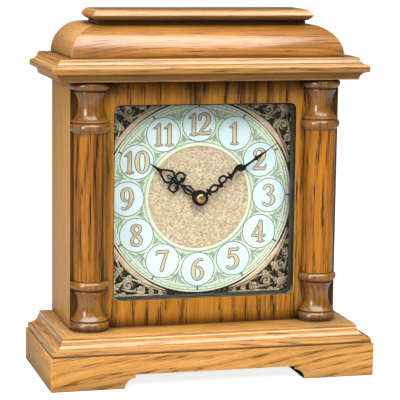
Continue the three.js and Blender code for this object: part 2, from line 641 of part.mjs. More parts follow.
// ---- back: a rebated frame with a hinged door ----
function buildBack() {
  const inside = CASE_HALF - PANEL - GAP;
  const [low, high] = [BASE_TOP_Z + GAP, CASE_TOP_Z - GAP];
  const doorBack = DOOR_FRONT_Y + DOOR_THICK;
  const frame = outline([[-inside, low], [inside, low], [inside, high], [-inside, high]]);
  const opening = roundedRect(-DOOR_HALF, DOOR_HALF, DOOR_BOTTOM_Z, DOOR_TOP_Z, 0.5);
  frame.holes.push(opening);
  add('back_frame', plate(frame, DOOR_FRONT_Y, doorBack, 1), HARDBOARD);
  const clear = 0.8;
  const door = box(-DOOR_HALF + clear, DOOR_HALF - clear, DOOR_FRONT_Y, doorBack, DOOR_BOTTOM_Z + clear,
    DOOR_TOP_Z - clear);
  add('back_door', door, HARDBOARD);
  const knob = new THREE.LatheGeometry(
    [[0, 0], [3, 0], [2.4, 2.6], [5, 5], [5, 7], [3, 8.6], [0, 9]].map(([r, h]) => new THREE.Vector2(r, h)),
    20,
  );
  add('door_knob', knob.translate(-DOOR_HALF + 16, doorBack + GAP, (DOOR_BOTTOM_Z + DOOR_TOP_Z) / 2), BRASS);

  [['lower', DOOR_BOTTOM_Z + 30], ['upper', DOOR_TOP_Z - 30]].forEach(([level, z]) => {
    const axisX = DOOR_HALF - 0.4;
    const tube = 3;                 // a third of the knuckle's length is one barrel
    const barrel = (r, z0, z1) => new THREE.CylinderGeometry(r, r, z1 - z0, 14)
      .rotateX(90 * DEG)
      .translate(axisX, HINGE_AXIS_Y, (z0 + z1) / 2);
    const flap = (x0, x1) => box(x0, x1, doorBack + GAP, doorBack + GAP + 0.8, z - 12, z + 12);
    const web = (x0, x1, z0, z1) => box(x0, x1, doorBack + GAP, HINGE_AXIS_Y, z0, z1);
    add(`hinge_leaf_frame_${level}`, join(
      flap(axisX + 2.2, axisX + 13),
      barrel(1.9, z - 12, z - tube - GAP),
      barrel(1.9, z + tube + GAP, z + 12),
      barrel(0.9, z - 8, z + 8),
      web(axisX + 0.9, axisX + 2.6, z - 12, z - tube - GAP),
      web(axisX + 0.9, axisX + 2.6, z + tube + GAP, z + 12),
    ), BRASS);
    const doorLeaf = join(
      box(axisX - 13, axisX - 2.6, doorBack + GAP, doorBack + GAP + 0.8, z - 12, z + 12),
      web(axisX - 3, axisX - 1, z - tube, z + tube),
      barrel(1.9, z - tube, z + tube),
    );
    add(`hinge_leaf_door_${level}`, cut(doorLeaf, barrel(1.2, z - 5, z + 5)), BRASS);
  });
}

buildPlinth();
buildCase();
buildColumns();
buildHood();
buildDial();
buildHands();
buildMovement();
buildBack();

export default clock;
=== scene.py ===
# Oak mantel clock with a pierced black pair of hands on a pale green and gold dial.
import math
import random

import bmesh
import bpy
from mathutils import Matrix, Vector


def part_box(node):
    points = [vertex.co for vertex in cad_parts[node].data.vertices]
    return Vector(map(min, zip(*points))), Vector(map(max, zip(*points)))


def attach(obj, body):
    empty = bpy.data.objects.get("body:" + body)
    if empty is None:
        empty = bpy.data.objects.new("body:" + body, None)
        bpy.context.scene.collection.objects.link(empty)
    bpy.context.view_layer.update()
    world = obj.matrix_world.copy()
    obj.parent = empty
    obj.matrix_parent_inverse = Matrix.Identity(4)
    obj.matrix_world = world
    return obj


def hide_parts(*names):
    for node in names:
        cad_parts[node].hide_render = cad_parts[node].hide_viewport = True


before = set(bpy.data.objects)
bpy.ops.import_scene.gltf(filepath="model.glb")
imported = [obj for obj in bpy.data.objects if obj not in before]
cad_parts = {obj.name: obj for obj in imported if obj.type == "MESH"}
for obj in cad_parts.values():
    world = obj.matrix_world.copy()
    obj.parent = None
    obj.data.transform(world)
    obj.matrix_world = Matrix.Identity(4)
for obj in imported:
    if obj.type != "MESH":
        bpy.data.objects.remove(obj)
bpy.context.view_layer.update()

MM = 0.001

# ---- camera, floor and light ----
# The clock stands on a pale floor, seen from a little to its left and above. Soft panels
# light it from above and the left, a flash fills its front, and one more panel shows only
# in the polish.
CASE_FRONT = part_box("front_panel")[0].y
CAMERA_YAW, CAMERA_PITCH, CAMERA_ROLL = (math.radians(a) for a in (15.28, 8.83, 0.724))
CAMERA_DISTANCE, CAMERA_LENS = 1.5347, 163.2
CAMERA_TARGET = Vector((-0.00486, CASE_FRONT, 0.15008))

back = Vector((
    -math.sin(CAMERA_YAW) * math.cos(CAMERA_PITCH),
    -math.cos(CAMERA_YAW) * math.cos(CAMERA_PITCH),
    math.sin(CAMERA_PITCH),
))
side = (-back).cross(Vector((0, 0, 1))).normalized()
up = side.cross(-back)
rolled_side = side * math.cos(CAMERA_ROLL) + up * math.sin(CAMERA_ROLL)
rolled_up = up * math.cos(CAMERA_ROLL) - side * math.sin(CAMERA_ROLL)
camera = bpy.data.objects.new("camera", bpy.data.cameras.new("camera"))
camera.data.lens = CAMERA_LENS
camera.data.clip_start = 0.01
camera.matrix_world = Matrix.Translation(CAMERA_TARGET + back * CAMERA_DISTANCE) @ Matrix(
    (rolled_side, rolled_up, back)
).transposed().to_4x4()
bpy.context.scene.collection.objects.link(camera)
bpy.context.scene.camera = camera


def lamp_item(name, lamp, way, place=(0, 0, 0)):
    item = bpy.data.objects.new(name, lamp)
    item.location = place
    item.rotation_euler = Vector(way).to_track_quat("-Z", "Y").to_euler()
    bpy.context.scene.collection.objects.link(item)
    return item


def area_light(name, place, aim, width, depth, watts, tint=(1, 1, 1)):
    lamp = bpy.data.lights.new(name, "AREA")
    lamp.shape = "RECTANGLE"
    lamp.size = width
    lamp.size_y = depth
    lamp.energy = watts
    lamp.color = tint
    return lamp_item(name, lamp, Vector(aim) - Vector(place), place)


area_light("top_panel", (-0.1, -0.47, 1.5), (0, 0, 0.22), 2.0, 1.45, 27)
area_light("left_panel", (-1.25, -0.95, 0.75), (0, 0, 0.15), 0.5, 0.8, 12)
sheen = area_light("sheen_panel", (-0.1, -0.4, 1.5), (0, 0, 0.22), 2.0, 0.85, 17, (0.62, 0.8, 1.0))
sheen.visible_diffuse = False
flash = bpy.data.lights.new("flash", "SUN")
flash.energy = 2.6
flash.angle = math.radians(32)
lamp_item("flash", flash, (-0.06, 1.0, -0.95)).visible_glossy = False


class Nodes:
    """Short calls for laying out one node tree."""

    def __init__(self, tree):
        self.tree = tree

    def add(self, kind, **values):
        node = self.tree.nodes.new(kind)
        for key, value in values.items():
            setattr(node, key, value)
        return node

    def feed(self, socket, value):
        if isinstance(value, bpy.types.NodeSocket):
            self.tree.links.new(value, socket)
        else:
            socket.default_value = value

    def fill(self, node, **values):
        """Sets or links a node's inputs by name, with an underscore for each space."""
        for label, value in values.items():
            self.feed(node.inputs[label.replace("_", " ")], value)
        return node

    def math(self, operation, a, b=0.0, clamp=False):
        node = self.add("ShaderNodeMath", operation=operation, use_clamp=clamp)
        self.feed(node.inputs[0], a)
        self.feed(node.inputs[1], b)
        return node.outputs[0]

    def noise(self, vector, scale, detail=2.0, distortion=0.0, shift=(0, 0, 0)):
        """Noise with its own scale along each axis."""
        place = self.fill(self.add("ShaderNodeMapping"), Vector=vector, Scale=scale, Location=shift)
        node = self.add("ShaderNodeTexNoise")
        self.fill(node, Vector=place.outputs[0], Scale=1.0, Detail=detail, Distortion=distortion)
        return node.outputs["Fac"]

    def place(self):
        return self.add("ShaderNodeTexCoord").outputs["Object"]

    def cloud(self, scale, detail=2.0, distortion=0.0):
        """Noise that stays with the piece; one scale serves all three axes."""
        return self.noise(self.place(), (scale,) * 3, detail, distortion)

    def step(self, value, low, high, to_low=0.0, to_high=1.0):
        node = self.add("ShaderNodeMapRange", interpolation_type="SMOOTHSTEP")
        self.fill(node, Value=value, From_Min=low, From_Max=high, To_Min=to_low, To_Max=to_high)
        return node.outputs[0]

    def blend(self, factor, a, b):
        node = self.add("ShaderNodeMix", data_type="RGBA")
        return self.fill(node, Factor=factor, A=a, B=b).outputs["Result"]

    def bump(self, height, strength, distance):
        node = self.add("ShaderNodeBump")
        return self.fill(node, Strength=strength, Distance=distance, Height=height).outputs[0]


world = bpy.data.worlds.new("studio")
bpy.context.scene.world = world
world.use_nodes = True
sky = Nodes(world.node_tree)
seen = sky.fill(sky.tree.nodes["Background"], Color=(1, 1, 1, 1), Strength=1.0)
lit = sky.fill(sky.add("ShaderNodeBackground"), Color=(1, 1, 1, 1), Strength=0.1)
sky_mix = sky.add("ShaderNodeMixShader")
is_seen = sky.add("ShaderNodeLightPath").outputs["Is Camera Ray"]
for socket, source in zip(sky_mix.inputs, (is_seen, lit.outputs[0], seen.outputs[0])):
    sky.feed(socket, source)
sky.feed(sky.tree.nodes["World Output"].inputs["Surface"], sky_mix.outputs[0])
bpy.context.scene.view_settings.view_transform = "Standard"


# ---- oak ----
# Solid and veneered oak under satin lacquer: broad dark flames, rows of open pores that
# follow the year rings, and slow changes of tone along the board.
def linear(code, alpha=1.0):
    """A colour written as six hex digits, as the linear numbers that a shader takes."""
    parts = [int(code[i:i + 2], 16) / 255 for i in (0, 2, 4)]
    return tuple(c / 12.92 if c <= 0.04045 else ((c + 0.055) / 1.055) ** 2.4 for c in parts) + (alpha,)


def new_group(name, ins, outs):
    group = bpy.data.node_groups.new(name, "ShaderNodeTree")
    for label, kind, value in ins:
        socket = group.interface.new_socket(label, in_out="INPUT", socket_type=kind)
        if value is not None:
            socket.default_value = value
    for label, kind in outs:
        group.interface.new_socket(label, in_out="OUTPUT", socket_type=kind)
    source = group.nodes.new("NodeGroupInput")
    sink = group.nodes.new("NodeGroupOutput")
    return group, Nodes(group), source.outputs, sink.inputs


# The grain runs along X of the vector that comes in.
oak_grain, g, put_in, give = new_group("oak_grain", [
    ("Vector", "NodeSocketVector", None),
    ("Light", "NodeSocketColor", (0.6, 0.3, 0.08, 1)),
    ("Mid", "NodeSocketColor", (0.45, 0.2, 0.04, 1)),
    ("Dark", "NodeSocketColor", (0.12, 0.04, 0.01, 1)),
    ("Flames", "NodeSocketFloat", 0.6),
    ("Pores", "NodeSocketFloat", 0.6),
    ("Breadth", "NodeSocketFloat", 1.0),
    ("Rings", "NodeSocketFloat", 190.0),
], [("Color", "NodeSocketColor"), ("Roughness", "NodeSocketFloat"), ("Height", "NodeSocketFloat")])
grain_way = put_in["Vector"]
drift = g.noise(grain_way, (5, 22, 22), detail=1.0)
parts = g.fill(g.add("ShaderNodeSeparateXYZ"), Vector=grain_way).outputs
across = g.math("ADD", parts["Y"], g.math("MULTIPLY", parts["Z"], 0.83))
wander = g.math("MULTIPLY", drift, g.math("MULTIPLY", put_in["Rings"], 0.05))
rings = g.math("ADD", g.math("MULTIPLY", across, put_in["Rings"]), wander)
ring_row = g.step(g.math("SINE", g.math("MULTIPLY", rings, 2 * math.pi)), 0.0, 0.9)
spread = g.add("ShaderNodeVectorMath", operation="SCALE")
g.fill(spread, Vector=grain_way, Scale=g.math("DIVIDE", 1.0, put_in["Breadth"]))
flame = g.step(g.noise(spread.outputs[0], (5, 70, 70), 3.0, 0.3, shift=(3, 1, 2)), 0.54, 0.66)
streak = g.noise(grain_way, (14, 420, 420), shift=(1, 7, 4))
pore = g.step(g.noise(grain_way, (48, 900, 900), shift=(2, 3, 9)), 0.53, 0.62)
fine_pore = g.step(g.noise(grain_way, (160, 2600, 2600), detail=1.0, shift=(5, 3, 1)), 0.55, 0.65)
patches = g.noise(grain_way, (9, 26, 26), shift=(6, 2, 5))
tone = g.math("ADD", g.math("MULTIPLY", streak, 0.75), g.math("MULTIPLY", patches, 0.5))
body_colour = g.blend(g.step(tone, 0.42, 0.82), put_in["Light"], put_in["Mid"])
in_rows = g.math("MULTIPLY", pore, g.math("ADD", g.math("MULTIPLY", ring_row, 0.85), 0.25))
pore_mask = g.math("ADD", in_rows, g.math("MULTIPLY", fine_pore, 0.25), clamp=True)
dark_flame = g.math("MULTIPLY", flame, g.step(streak, 0.36, 0.6, 0.35, 1.0))
ring_tone = g.math("MULTIPLY", ring_row, g.step(streak, 0.35, 0.6, 0.12, 0.5))
dark_rows = g.math("MULTIPLY", g.math("ADD", pore_mask, ring_tone), put_in["Pores"])
dark = g.math("ADD", g.math("MULTIPLY", dark_flame, put_in["Flames"]), dark_rows, clamp=True)
g.feed(give["Color"], g.blend(dark, body_colour, put_in["Dark"]))
g.feed(give["Roughness"], g.step(dark, 0.0, 1.0, 0.34, 0.5))
g.feed(give["Height"], g.math("SUBTRACT", g.math("MULTIPLY", streak, 0.3), pore_mask))

# Corners that are handled and dusted wear to a lighter line; the hollows and faces close to other parts are
# darkened as painted shade.
edge_wear_and_shade, g, put_in, give = new_group("edge_wear_and_shade", [
    ("Color", "NodeSocketColor", (0.5, 0.3, 0.1, 1)),
    ("Wear", "NodeSocketFloat", 0.5),
    ("Grime", "NodeSocketFloat", 0.5),
], [("Color", "NodeSocketColor")])
rounded = g.fill(g.add("ShaderNodeBevel", samples=4), Radius=0.0009)
turned = g.add("ShaderNodeVectorMath", operation="DOT_PRODUCT")
g.feed(turned.inputs[0], rounded.outputs[0])
g.feed(turned.inputs[1], g.add("ShaderNodeNewGeometry").outputs["Normal"])
worn = g.math("MULTIPLY", g.step(turned.outputs["Value"], 0.9, 0.985, 1.0, 0.0), put_in["Wear"])
# Painted shade: an occlusion mask darkens hollows and crevices towards a near-black brown.
hollow = g.fill(g.add("ShaderNodeAmbientOcclusion", samples=6), Distance=0.016)
hollow_shade = g.math("MULTIPLY", g.step(hollow.outputs["AO"], 0.32, 0.92, 1.0, 0.0), put_in["Grime"])
hollow_shaded = g.blend(hollow_shade, put_in["Color"], linear("1c0d04"))
g.feed(give["Color"], g.blend(worn, hollow_shaded, linear("e9bd7e")))


def new_material(name):
    material = bpy.data.materials.new(name)
    material.use_nodes = True
    return material, Nodes(material.node_tree), material.node_tree.nodes["Principled BSDF"]


def oak(name, light, mid, dark, grain="x", flames=0.6, pores=0.6, breadth=1.0, rings=190, slant=0.0,
        gloss=0.5, shift=(0, 0, 0), mitre=None, painted_shade=0.75):
    """Lacquered oak. mitre is the half width and front of a board whose ends are mitred strips."""
    material, n, shader = new_material(name)
    place = n.place()
    if mitre:
        half, front = mitre
        xyz = n.fill(n.add("ShaderNodeSeparateXYZ"), Vector=place).outputs
        from_end = n.math("SUBTRACT", half, n.math("ABSOLUTE", xyz["X"]))
        on_side = n.math("LESS_THAN", from_end, n.math("SUBTRACT", xyz["Y"], front))
        past = n.math("ADD", xyz["X"], 0.4)
        turned = n.fill(n.add("ShaderNodeCombineXYZ"), X=xyz["Y"], Y=past, Z=xyz["Z"])
        either = n.add("ShaderNodeMix", data_type="VECTOR")
        place = n.fill(either, Factor=on_side, A=place, B=turned.outputs[0]).outputs["Result"]
    quarter = math.radians(90)
    way = {"x": (0, slant, 0), "y": (0, 0, quarter), "z": (0, quarter + slant, 0)}[grain]
    mapping = n.fill(n.add("ShaderNodeMapping"), Vector=place, Location=shift, Rotation=way)
    wood = n.add("ShaderNodeGroup", node_tree=oak_grain)
    n.fill(wood, Vector=mapping.outputs[0], Light=linear(light), Mid=linear(mid), Dark=linear(dark),
           Flames=flames, Pores=pores, Breadth=breadth, Rings=rings)
    # The wear group also paints shade into the hollows; the last argument sets how much.
    wear = n.add("ShaderNodeGroup", node_tree=edge_wear_and_shade)
    n.fill(wear, Color=wood.outputs["Color"], Wear=0.35, Grime=painted_shade)
    n.fill(shader, Base_Color=wear.outputs[0], Roughness=wood.outputs["Roughness"], Coat_Weight=gloss,
           Coat_Roughness=0.12, Specular_IOR_Level=0.08 + 0.42 * gloss,
           Normal=n.bump(wood.outputs["Height"], 0.35, 0.00025))
    return material


# ---- plinth ----
# Four oak boards, the front one cut out between its bracket feet; the front corners are
# mitred and glued, and the arrises eased with fine paper. The blocks behind the feet and
# the cut edges under the arch are stained black.
def cut_back(bm, angle=math.radians(28)):
    return [e for e in bm.edges if len(e.link_faces) == 2 and e.calc_face_angle(0) > angle]


def ease(bm, width=0.4 * MM, segments=2, edges=None):
    """Rounds the sharp edges a little, as sanding does."""
    bmesh.ops.bevel(
        bm, geom=edges if edges is not None else cut_back(bm), offset=width, offset_type="OFFSET",
        affect="EDGES", segments=segments, profile=0.5, material=-1, clamp_overlap=True,
    )


def make(name, bm, material, body="case", stands_for=(), smooth=32):
    """Turns a finished bmesh into a piece that rides on its body."""
    bmesh.ops.remove_doubles(bm, verts=bm.verts, dist=1e-7)
    bmesh.ops.recalc_face_normals(bm, faces=bm.faces)
    mesh = bpy.data.meshes.new(name)
    bm.to_mesh(mesh)
    bm.free()
    mesh.shade_smooth()
    mesh.set_sharp_from_angle(angle=math.radians(smooth))
    for each in material if isinstance(material, (list, tuple)) else [material]:
        mesh.materials.append(each)
    item = bpy.data.objects.new(name, mesh)
    bpy.context.scene.collection.objects.link(item)
    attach(item, body)
    if stands_for:
        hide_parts(*stands_for)
    return item


def block(low, high):
    """A plain board between two corners."""
    bm = bmesh.new()
    bmesh.ops.create_cube(bm, size=1)
    size = Vector(high) - Vector(low)
    bmesh.ops.scale(bm, vec=size, verts=bm.verts)
    bmesh.ops.translate(bm, vec=(Vector(low) + Vector(high)) / 2, verts=bm.verts)
    return bm


def arc(centre, radius, start, end, steps):
    """Points of a round stretch; angles in degrees from the first axis."""
    turn = [math.radians(start + (end - start) * i / steps) for i in range(steps + 1)]
    return [(centre[0] + radius * math.cos(a), centre[1] + radius * math.sin(a)) for a in turn]


def board(node, name, finish, width=0.4 * MM, segments=2, body="case"):
    """A plain board with eased edges in the place of one node."""
    bm = block(*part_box(node))
    ease(bm, width, segments)
    make(name, bm, finish, body=body, stands_for=[node])


def thicken(bm, by):
    """Draws flat faces out into a solid."""
    grown = bmesh.ops.extrude_face_region(bm, geom=bm.faces[:])["geom"]
    bmesh.ops.translate(bm, vec=by, verts=[v for v in grown if isinstance(v, bmesh.types.BMVert)])


def drawn_out(outline, by):
    """A solid drawn out from the points of a flat outline."""
    bm = bmesh.new()
    bm.faces.new([bm.verts.new(point) for point in outline])
    thicken(bm, by)
    return bm


def saw(bm, point, normal):
    """Cuts away what lies past a plane and closes the cut."""
    cut = bmesh.ops.bisect_plane(bm, geom=bm.verts[:] + bm.edges[:] + bm.faces[:], plane_co=point,
                                 plane_no=normal, clear_outer=True)
    bmesh.ops.edgeloop_fill(bm, edges=[e for e in cut["geom_cut"] if isinstance(e, bmesh.types.BMEdge)])


PLINTH_LOW, PLINTH_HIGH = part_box("plinth_front")
PLINTH_HALF = PLINTH_HIGH.x
PLINTH_FRONT = PLINTH_LOW.y
PLINTH_BOARD = PLINTH_HIGH.y - PLINTH_LOW.y
ARCH_HALF, ARCH_TOP, FOOT_CURVE = 69 * MM, 11.5 * MM, 8.9 * MM
MITRE_GAP = 0.25 * MM

oak_plinth = oak("oak_plinth", "d99d4d", "c3863a", "6b4118", slant=math.radians(9), flames=0.25, pores=0.7,
                 rings=125, painted_shade=0.4, shift=(0.05, 0, 0.013))
oak_plinth_side = oak("oak_plinth_side", "d29a50", "c08a42", "8a5c2a", grain="y", flames=0.2, pores=0.2,
                      gloss=0, painted_shade=0.4)
black_stain, n, shader = new_material("black_stained_wood")
fibres = n.noise(n.place(), (60, 500, 500), detail=3.0)
n.fill(shader, Base_Color=n.blend(n.step(fibres, 0.4, 0.7), linear("0b0908"), linear("1c1613")),
       Roughness=n.step(fibres, 0.3, 0.7, 0.7, 0.9), Specular_IOR_Level=0.15,
       Normal=n.bump(fibres, 0.3, 0.0001))

inner_curve = arc((ARCH_HALF, 0), FOOT_CURVE, 0, 90, 10)
half_outline = [(PLINTH_HALF, PLINTH_HIGH.z), (PLINTH_HALF, 0)] + inner_curve + [(ARCH_HALF, ARCH_TOP)]
mirrored = [(-x, z) for x, z in reversed(half_outline)]
bm = drawn_out([(x, PLINTH_FRONT, z) for x, z in half_outline + mirrored], (0, PLINTH_BOARD, 0))
for way in (-1, 1):
    saw(bm, (way * PLINTH_HALF, PLINTH_FRONT, 0), (way, 1, 0))
for face in bm.faces:
    middle = face.calc_center_median()
    in_arch = abs(middle.x) < ARCH_HALF + FOOT_CURVE and middle.z < ARCH_TOP + 0.5 * MM
    face.material_index = 1 if in_arch and abs(face.normal.y) < 0.5 else 0
ease(bm)
make("plinth_front_board", bm, [oak_plinth, black_stain], stands_for=["plinth_front"])

for hand, way in (("left", -1), ("right", 1)):
    bm = block(*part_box(f"plinth_{hand}"))
    saw(bm, (way * PLINTH_HALF, PLINTH_FRONT + MITRE_GAP, 0), (-way, -1, 0))
    ease(bm)
    make(f"plinth_{hand}_board", bm, oak_plinth_side, stands_for=[f"plinth_{hand}"])
board("plinth_back", "plinth_back_board", oak_plinth)
for hand in ("left", "right"):
    board(f"foot_block_{hand}", f"foot_block_{hand}_stained", black_stain)


# ---- moulded boards: base, cornice and cap ----
# Each is a board with its front and ends run on a spindle moulder, the end grain hidden
# by mitred strips; the rear edge is left square, except on the cap.
def moulded_board(levels, half, front, rear, bottom, moulded_rear=False):
    """Raises a rectangle level by level; each level is (inset, height) from the outermost edge."""
    bm = bmesh.new()
    bmesh.ops.create_grid(bm, x_segments=1, y_segments=1, size=0.5)
    bm.faces.ensure_lookup_table()
    top = bm.faces[0]
    width, depth, middle, height = 1.0, 1.0, 0.0, 0.0
    for count, (inset, level) in enumerate(levels):
        if count:
            grown = bmesh.ops.extrude_face_region(bm, geom=[top])["geom"]
            top = next(f for f in grown if isinstance(f, bmesh.types.BMFace))
        verts = list(top.verts)
        far = rear - inset if moulded_rear else rear
        new_width, new_depth = 2 * (half - inset), far - (front + inset)
        new_middle, new_height = (far + front + inset) / 2, bottom + level
        bmesh.ops.scale(bm, vec=(new_width / width, new_depth / depth, 1), verts=verts,
                        space=Matrix.Translation((0, -middle, 0)))
        bmesh.ops.translate(bm, vec=(0, new_middle - middle, new_height - height), verts=verts)
        width, depth, middle, height = new_width, new_depth, new_middle, new_height
    return bm


def in_mm(points):
    return [(a * MM, b * MM) for a, b in points]


MOULDING = ("b9802f", "98611d", "3a1d05")
low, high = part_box("base_moulding")
oak_base = oak("oak_base", "cf9140", "b4752b", "53300f", gloss=1.0, flames=0.4, pores=0.8, rings=160,
               slant=math.radians(-2), shift=(0.02, 0.01, 0.3), mitre=(PLINTH_HALF, PLINTH_FRONT))
BASE_INSET, BASE_REBATE = 1.5, 0.8
base_height = (high.z - low.z) / MM
base_cove = [p for p in arc((2.0 + BASE_INSET, 12.2), 7.8, 262, 350, 12) if p[1] > 3.4]
base_levels = [
    (BASE_INSET + 0.9, 0), (BASE_INSET + 0.9, BASE_REBATE), (BASE_INSET + 0.1, BASE_REBATE + 0.2),
    (BASE_INSET, 1.5), (BASE_INSET + 0.05, 2.3), (BASE_INSET + 0.5, 3.2)] + base_cove + [
    (11.7, 11.4), (11.9, 11.7), (12.0, base_height - 0.7), (12.2, base_height - 0.2), (12.7, base_height)]
bm = moulded_board(in_mm(base_levels), PLINTH_HALF, PLINTH_FRONT, high.y, low.z)
make("base_board", bm, oak_base, stands_for=["base_moulding"], smooth=40)

low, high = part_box("cornice")
CORNICE_HALF = high.x
CORNICE_MITRE = (CORNICE_HALF, low.y)
oak_cornice = oak("oak_cornice", *MOULDING, gloss=1.0, flames=0.35, pores=0.7, rings=260,
                  shift=(0.3, 0.02, 0.1), mitre=CORNICE_MITRE)
# Faces that look down take a darker, duller copy of the moulding oak: painted shade for the undersides.
oak_shaded_under = oak("oak_shaded_underside", "96601f", "7a4a14", "3a1d05", gloss=0.05, flames=0.3, pores=0.5,
                shift=(0.3, 0.02, 0.1), mitre=CORNICE_MITRE)
oak_end = oak("oak_moulding_end", "b98546", "a87539", "7d5426", gloss=0.05, flames=0.2, pores=0.3,
              shift=(0.3, 0.02, 0.1), mitre=CORNICE_MITRE)


def face_ways(bm):
    """Second material on ends that face left or right, third, a darker copy that paints shade, on faces that
    look down.
    """
    bm.normal_update()
    for face in bm.faces:
        across, forward, upward = (abs(face.normal.x), abs(face.normal.y), face.normal.z)
        is_end = across > 0.6 or (across > 0.3 and forward < 0.05)
        face.material_index = 1 if is_end else 2 if upward < -0.1 else 0


cornice_height = (high.z - low.z) / MM
cornice_levels = [(7.8, 0), (7.2, 0.3)] + arc((0.7, 0.3), 6.5, 6, 88, 10) + [
    (0.25, 7.2), (0, 7.7), (0, 11.4), (0.2, 11.9)] + arc((0.4, cornice_height + 0.4), 6.9, 272, 350, 10) + [
    (7.5, cornice_height - 0.4), (8.0, cornice_height)]
bm = moulded_board(in_mm(cornice_levels), CORNICE_HALF, low.y, high.y, low.z)
face_ways(bm)
make("cornice_board", bm, [oak_cornice, oak_end, oak_shaded_under], stands_for=["cornice"],
     smooth=40)

low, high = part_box("cap_board")
CAP_HALF = high.x
oak_cap = oak("oak_cap", "c08a42", "a06a26", "452508", gloss=0.8, flames=0.35, pores=0.6, rings=260,
              shift=(0.1, 0.2, 0.4), mitre=(CAP_HALF, low.y))
cap_height = (high.z - low.z) / MM
cap_levels = [(5.8, 0), (4.7, 0.15), (3.3, 0.8), (2.0, 1.8), (0.9, 3.1), (0.15, 4.3), (0.1, 4.8),
              (0.9, 6.1), (1.9, 7.4), (3.2, 8.5), (4.6, 9.2), (5.8, cap_height)]
bm = moulded_board(in_mm(cap_levels), CAP_HALF, low.y, high.y, low.z, moulded_rear=True)
face_ways(bm)
make("cap_top_board", bm, [oak_cap, oak_end, oak_shaded_under], stands_for=["cap_board"],
     smooth=40)
# The spacer is a darker oak: painted shade for the shadow under the cap.
oak_shadow = oak("oak_spacer_painted_shade", "7a5227", "65431f", "3a2310", flames=0.2, pores=0.3, gloss=0.1)
board("cap_spacer", "cap_spacer_board", oak_shadow)


# ---- hood ----
# Three quarter-round mouldings mitred round a flat top board; a rail closes the back.
low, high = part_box("hood_front")
HOOD_FRONT, HOOD_BOTTOM, HOOD_RADIUS = low.y, low.z, high.y - low.y
HOOD_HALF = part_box("hood_right")[1].x
oak_hood = oak("oak_hood", "b97c30", "a16723", "4a2809", gloss=1.0, flames=0.3, pores=0.6, rings=300,
               shift=(0.15, 0, 0.2))
oak_hood_side = oak("oak_hood_side", "c4935a", "b58449", "8a602f", grain="y", flames=0.15, pores=0.2,
                    gloss=0)
quarter = arc((HOOD_RADIUS, 0), HOOD_RADIUS, 180, 90, 24) + [(HOOD_RADIUS, 0)]
HOOD_REACH = HOOD_HALF + HOOD_RADIUS
bm = drawn_out([(-HOOD_REACH, HOOD_FRONT + y, HOOD_BOTTOM + z) for y, z in quarter], (2 * HOOD_REACH, 0, 0))
saw(bm, (HOOD_HALF, HOOD_FRONT, 0), (1, 1, 0))
saw(bm, (-HOOD_HALF, HOOD_FRONT, 0), (-1, 1, 0))
ease(bm, 0.25 * MM)
make("hood_front_moulding", bm, oak_hood, stands_for=["hood_front"], smooth=40)
for hand, way in (("left", -1), ("right", 1)):
    low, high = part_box(f"hood_{hand}")
    bm = drawn_out([(-1, HOOD_HALF - y, HOOD_BOTTOM + z) for y, z in quarter], (2, 0, 0))
    bmesh.ops.rotate(bm, matrix=Matrix.Rotation(math.radians(-90), 3, "Z"), verts=bm.verts)
    if way < 0:
        bmesh.ops.mirror(bm, geom=bm.verts[:] + bm.edges[:] + bm.faces[:], axis="X", merge_dist=-1)
        bmesh.ops.delete(bm, geom=[v for v in bm.verts if v.co.x > 0], context="VERTS")
    saw(bm, (0, high.y, 0), (0, 1, 0))
    saw(bm, (way * HOOD_HALF, HOOD_FRONT + MITRE_GAP, 0), (-way, -1, 0))
    ease(bm, 0.25 * MM)
    make(f"hood_{hand}_moulding", bm, oak_hood_side, stands_for=[f"hood_{hand}"], smooth=40)
for node, finish in (("hood_top_board", oak_hood), ("hood_back_rail", oak_hood_side)):
    board(node, f"{node}_piece", finish, 0.2 * MM)

# ---- case panels ----
# Two veneered sides and a veneered front with the window cut out of it, its edges rounded over.
oak_front = oak("oak_front", "b97b22", "9c6417", "2c1504", grain="z", flames=0.45, pores=0.75, breadth=2.4,
                rings=72, gloss=0.3, painted_shade=0.97, shift=(0, 0, 0.02))
oak_case_side = oak("oak_case_side", "d8a05a", "cb914c", "9a6c38", grain="z", flames=0.15, pores=0.2,
                    gloss=0, painted_shade=0.5)
# The faces of the sides that look forward take a dark oak: painted shade, for the shadow that falls between
# the columns and the sides.
oak_shaded_edge = oak("oak_shaded_edge", "5f3a12", "4a2b0b", "1d0d03", grain="z", flames=0.3, pores=0.5, gloss=0.1)
for hand in ("left", "right"):
    bm = block(*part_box(f"side_panel_{hand}"))
    ease(bm, 0.8 * MM, 3)
    for face in bm.faces:
        face.material_index = 1 if face.normal.y < -0.3 else 0
    make(f"case_side_{hand}", bm, [oak_case_side, oak_shaded_edge], stands_for=[f"side_panel_{hand}"])


def round_rectangle(bm, low_x, high_x, low_z, high_z, y, radius):
    """A flat face with round corners, or square ones when the radius is 0."""
    verts = bmesh.ops.create_grid(bm, x_segments=1, y_segments=1, size=0.5)["verts"]
    bmesh.ops.rotate(bm, matrix=Matrix.Rotation(math.radians(90), 3, "X"), verts=verts)
    bmesh.ops.scale(bm, vec=(high_x - low_x, 1, high_z - low_z), verts=verts)
    bmesh.ops.translate(bm, vec=((low_x + high_x) / 2, y, (low_z + high_z) / 2), verts=verts)
    if radius:
        bmesh.ops.bevel(bm, geom=verts, offset=radius, offset_type="OFFSET", affect="VERTICES", segments=6,
                        profile=0.5, material=-1)


def framed_panel(low, high, opening, radius):
    """A board with a round-cornered opening, given as its low and high X and Z."""
    bm = bmesh.new()
    round_rectangle(bm, low.x, high.x, low.z, high.z, low.y, 0)
    round_rectangle(bm, *opening, low.y, radius)
    bmesh.ops.delete(bm, geom=bm.faces[:], context="FACES_ONLY")
    bmesh.ops.triangle_fill(bm, use_beauty=True, use_dissolve=False, edges=bm.edges[:])
    thicken(bm, (0, high.y - low.y, 0))
    return bm


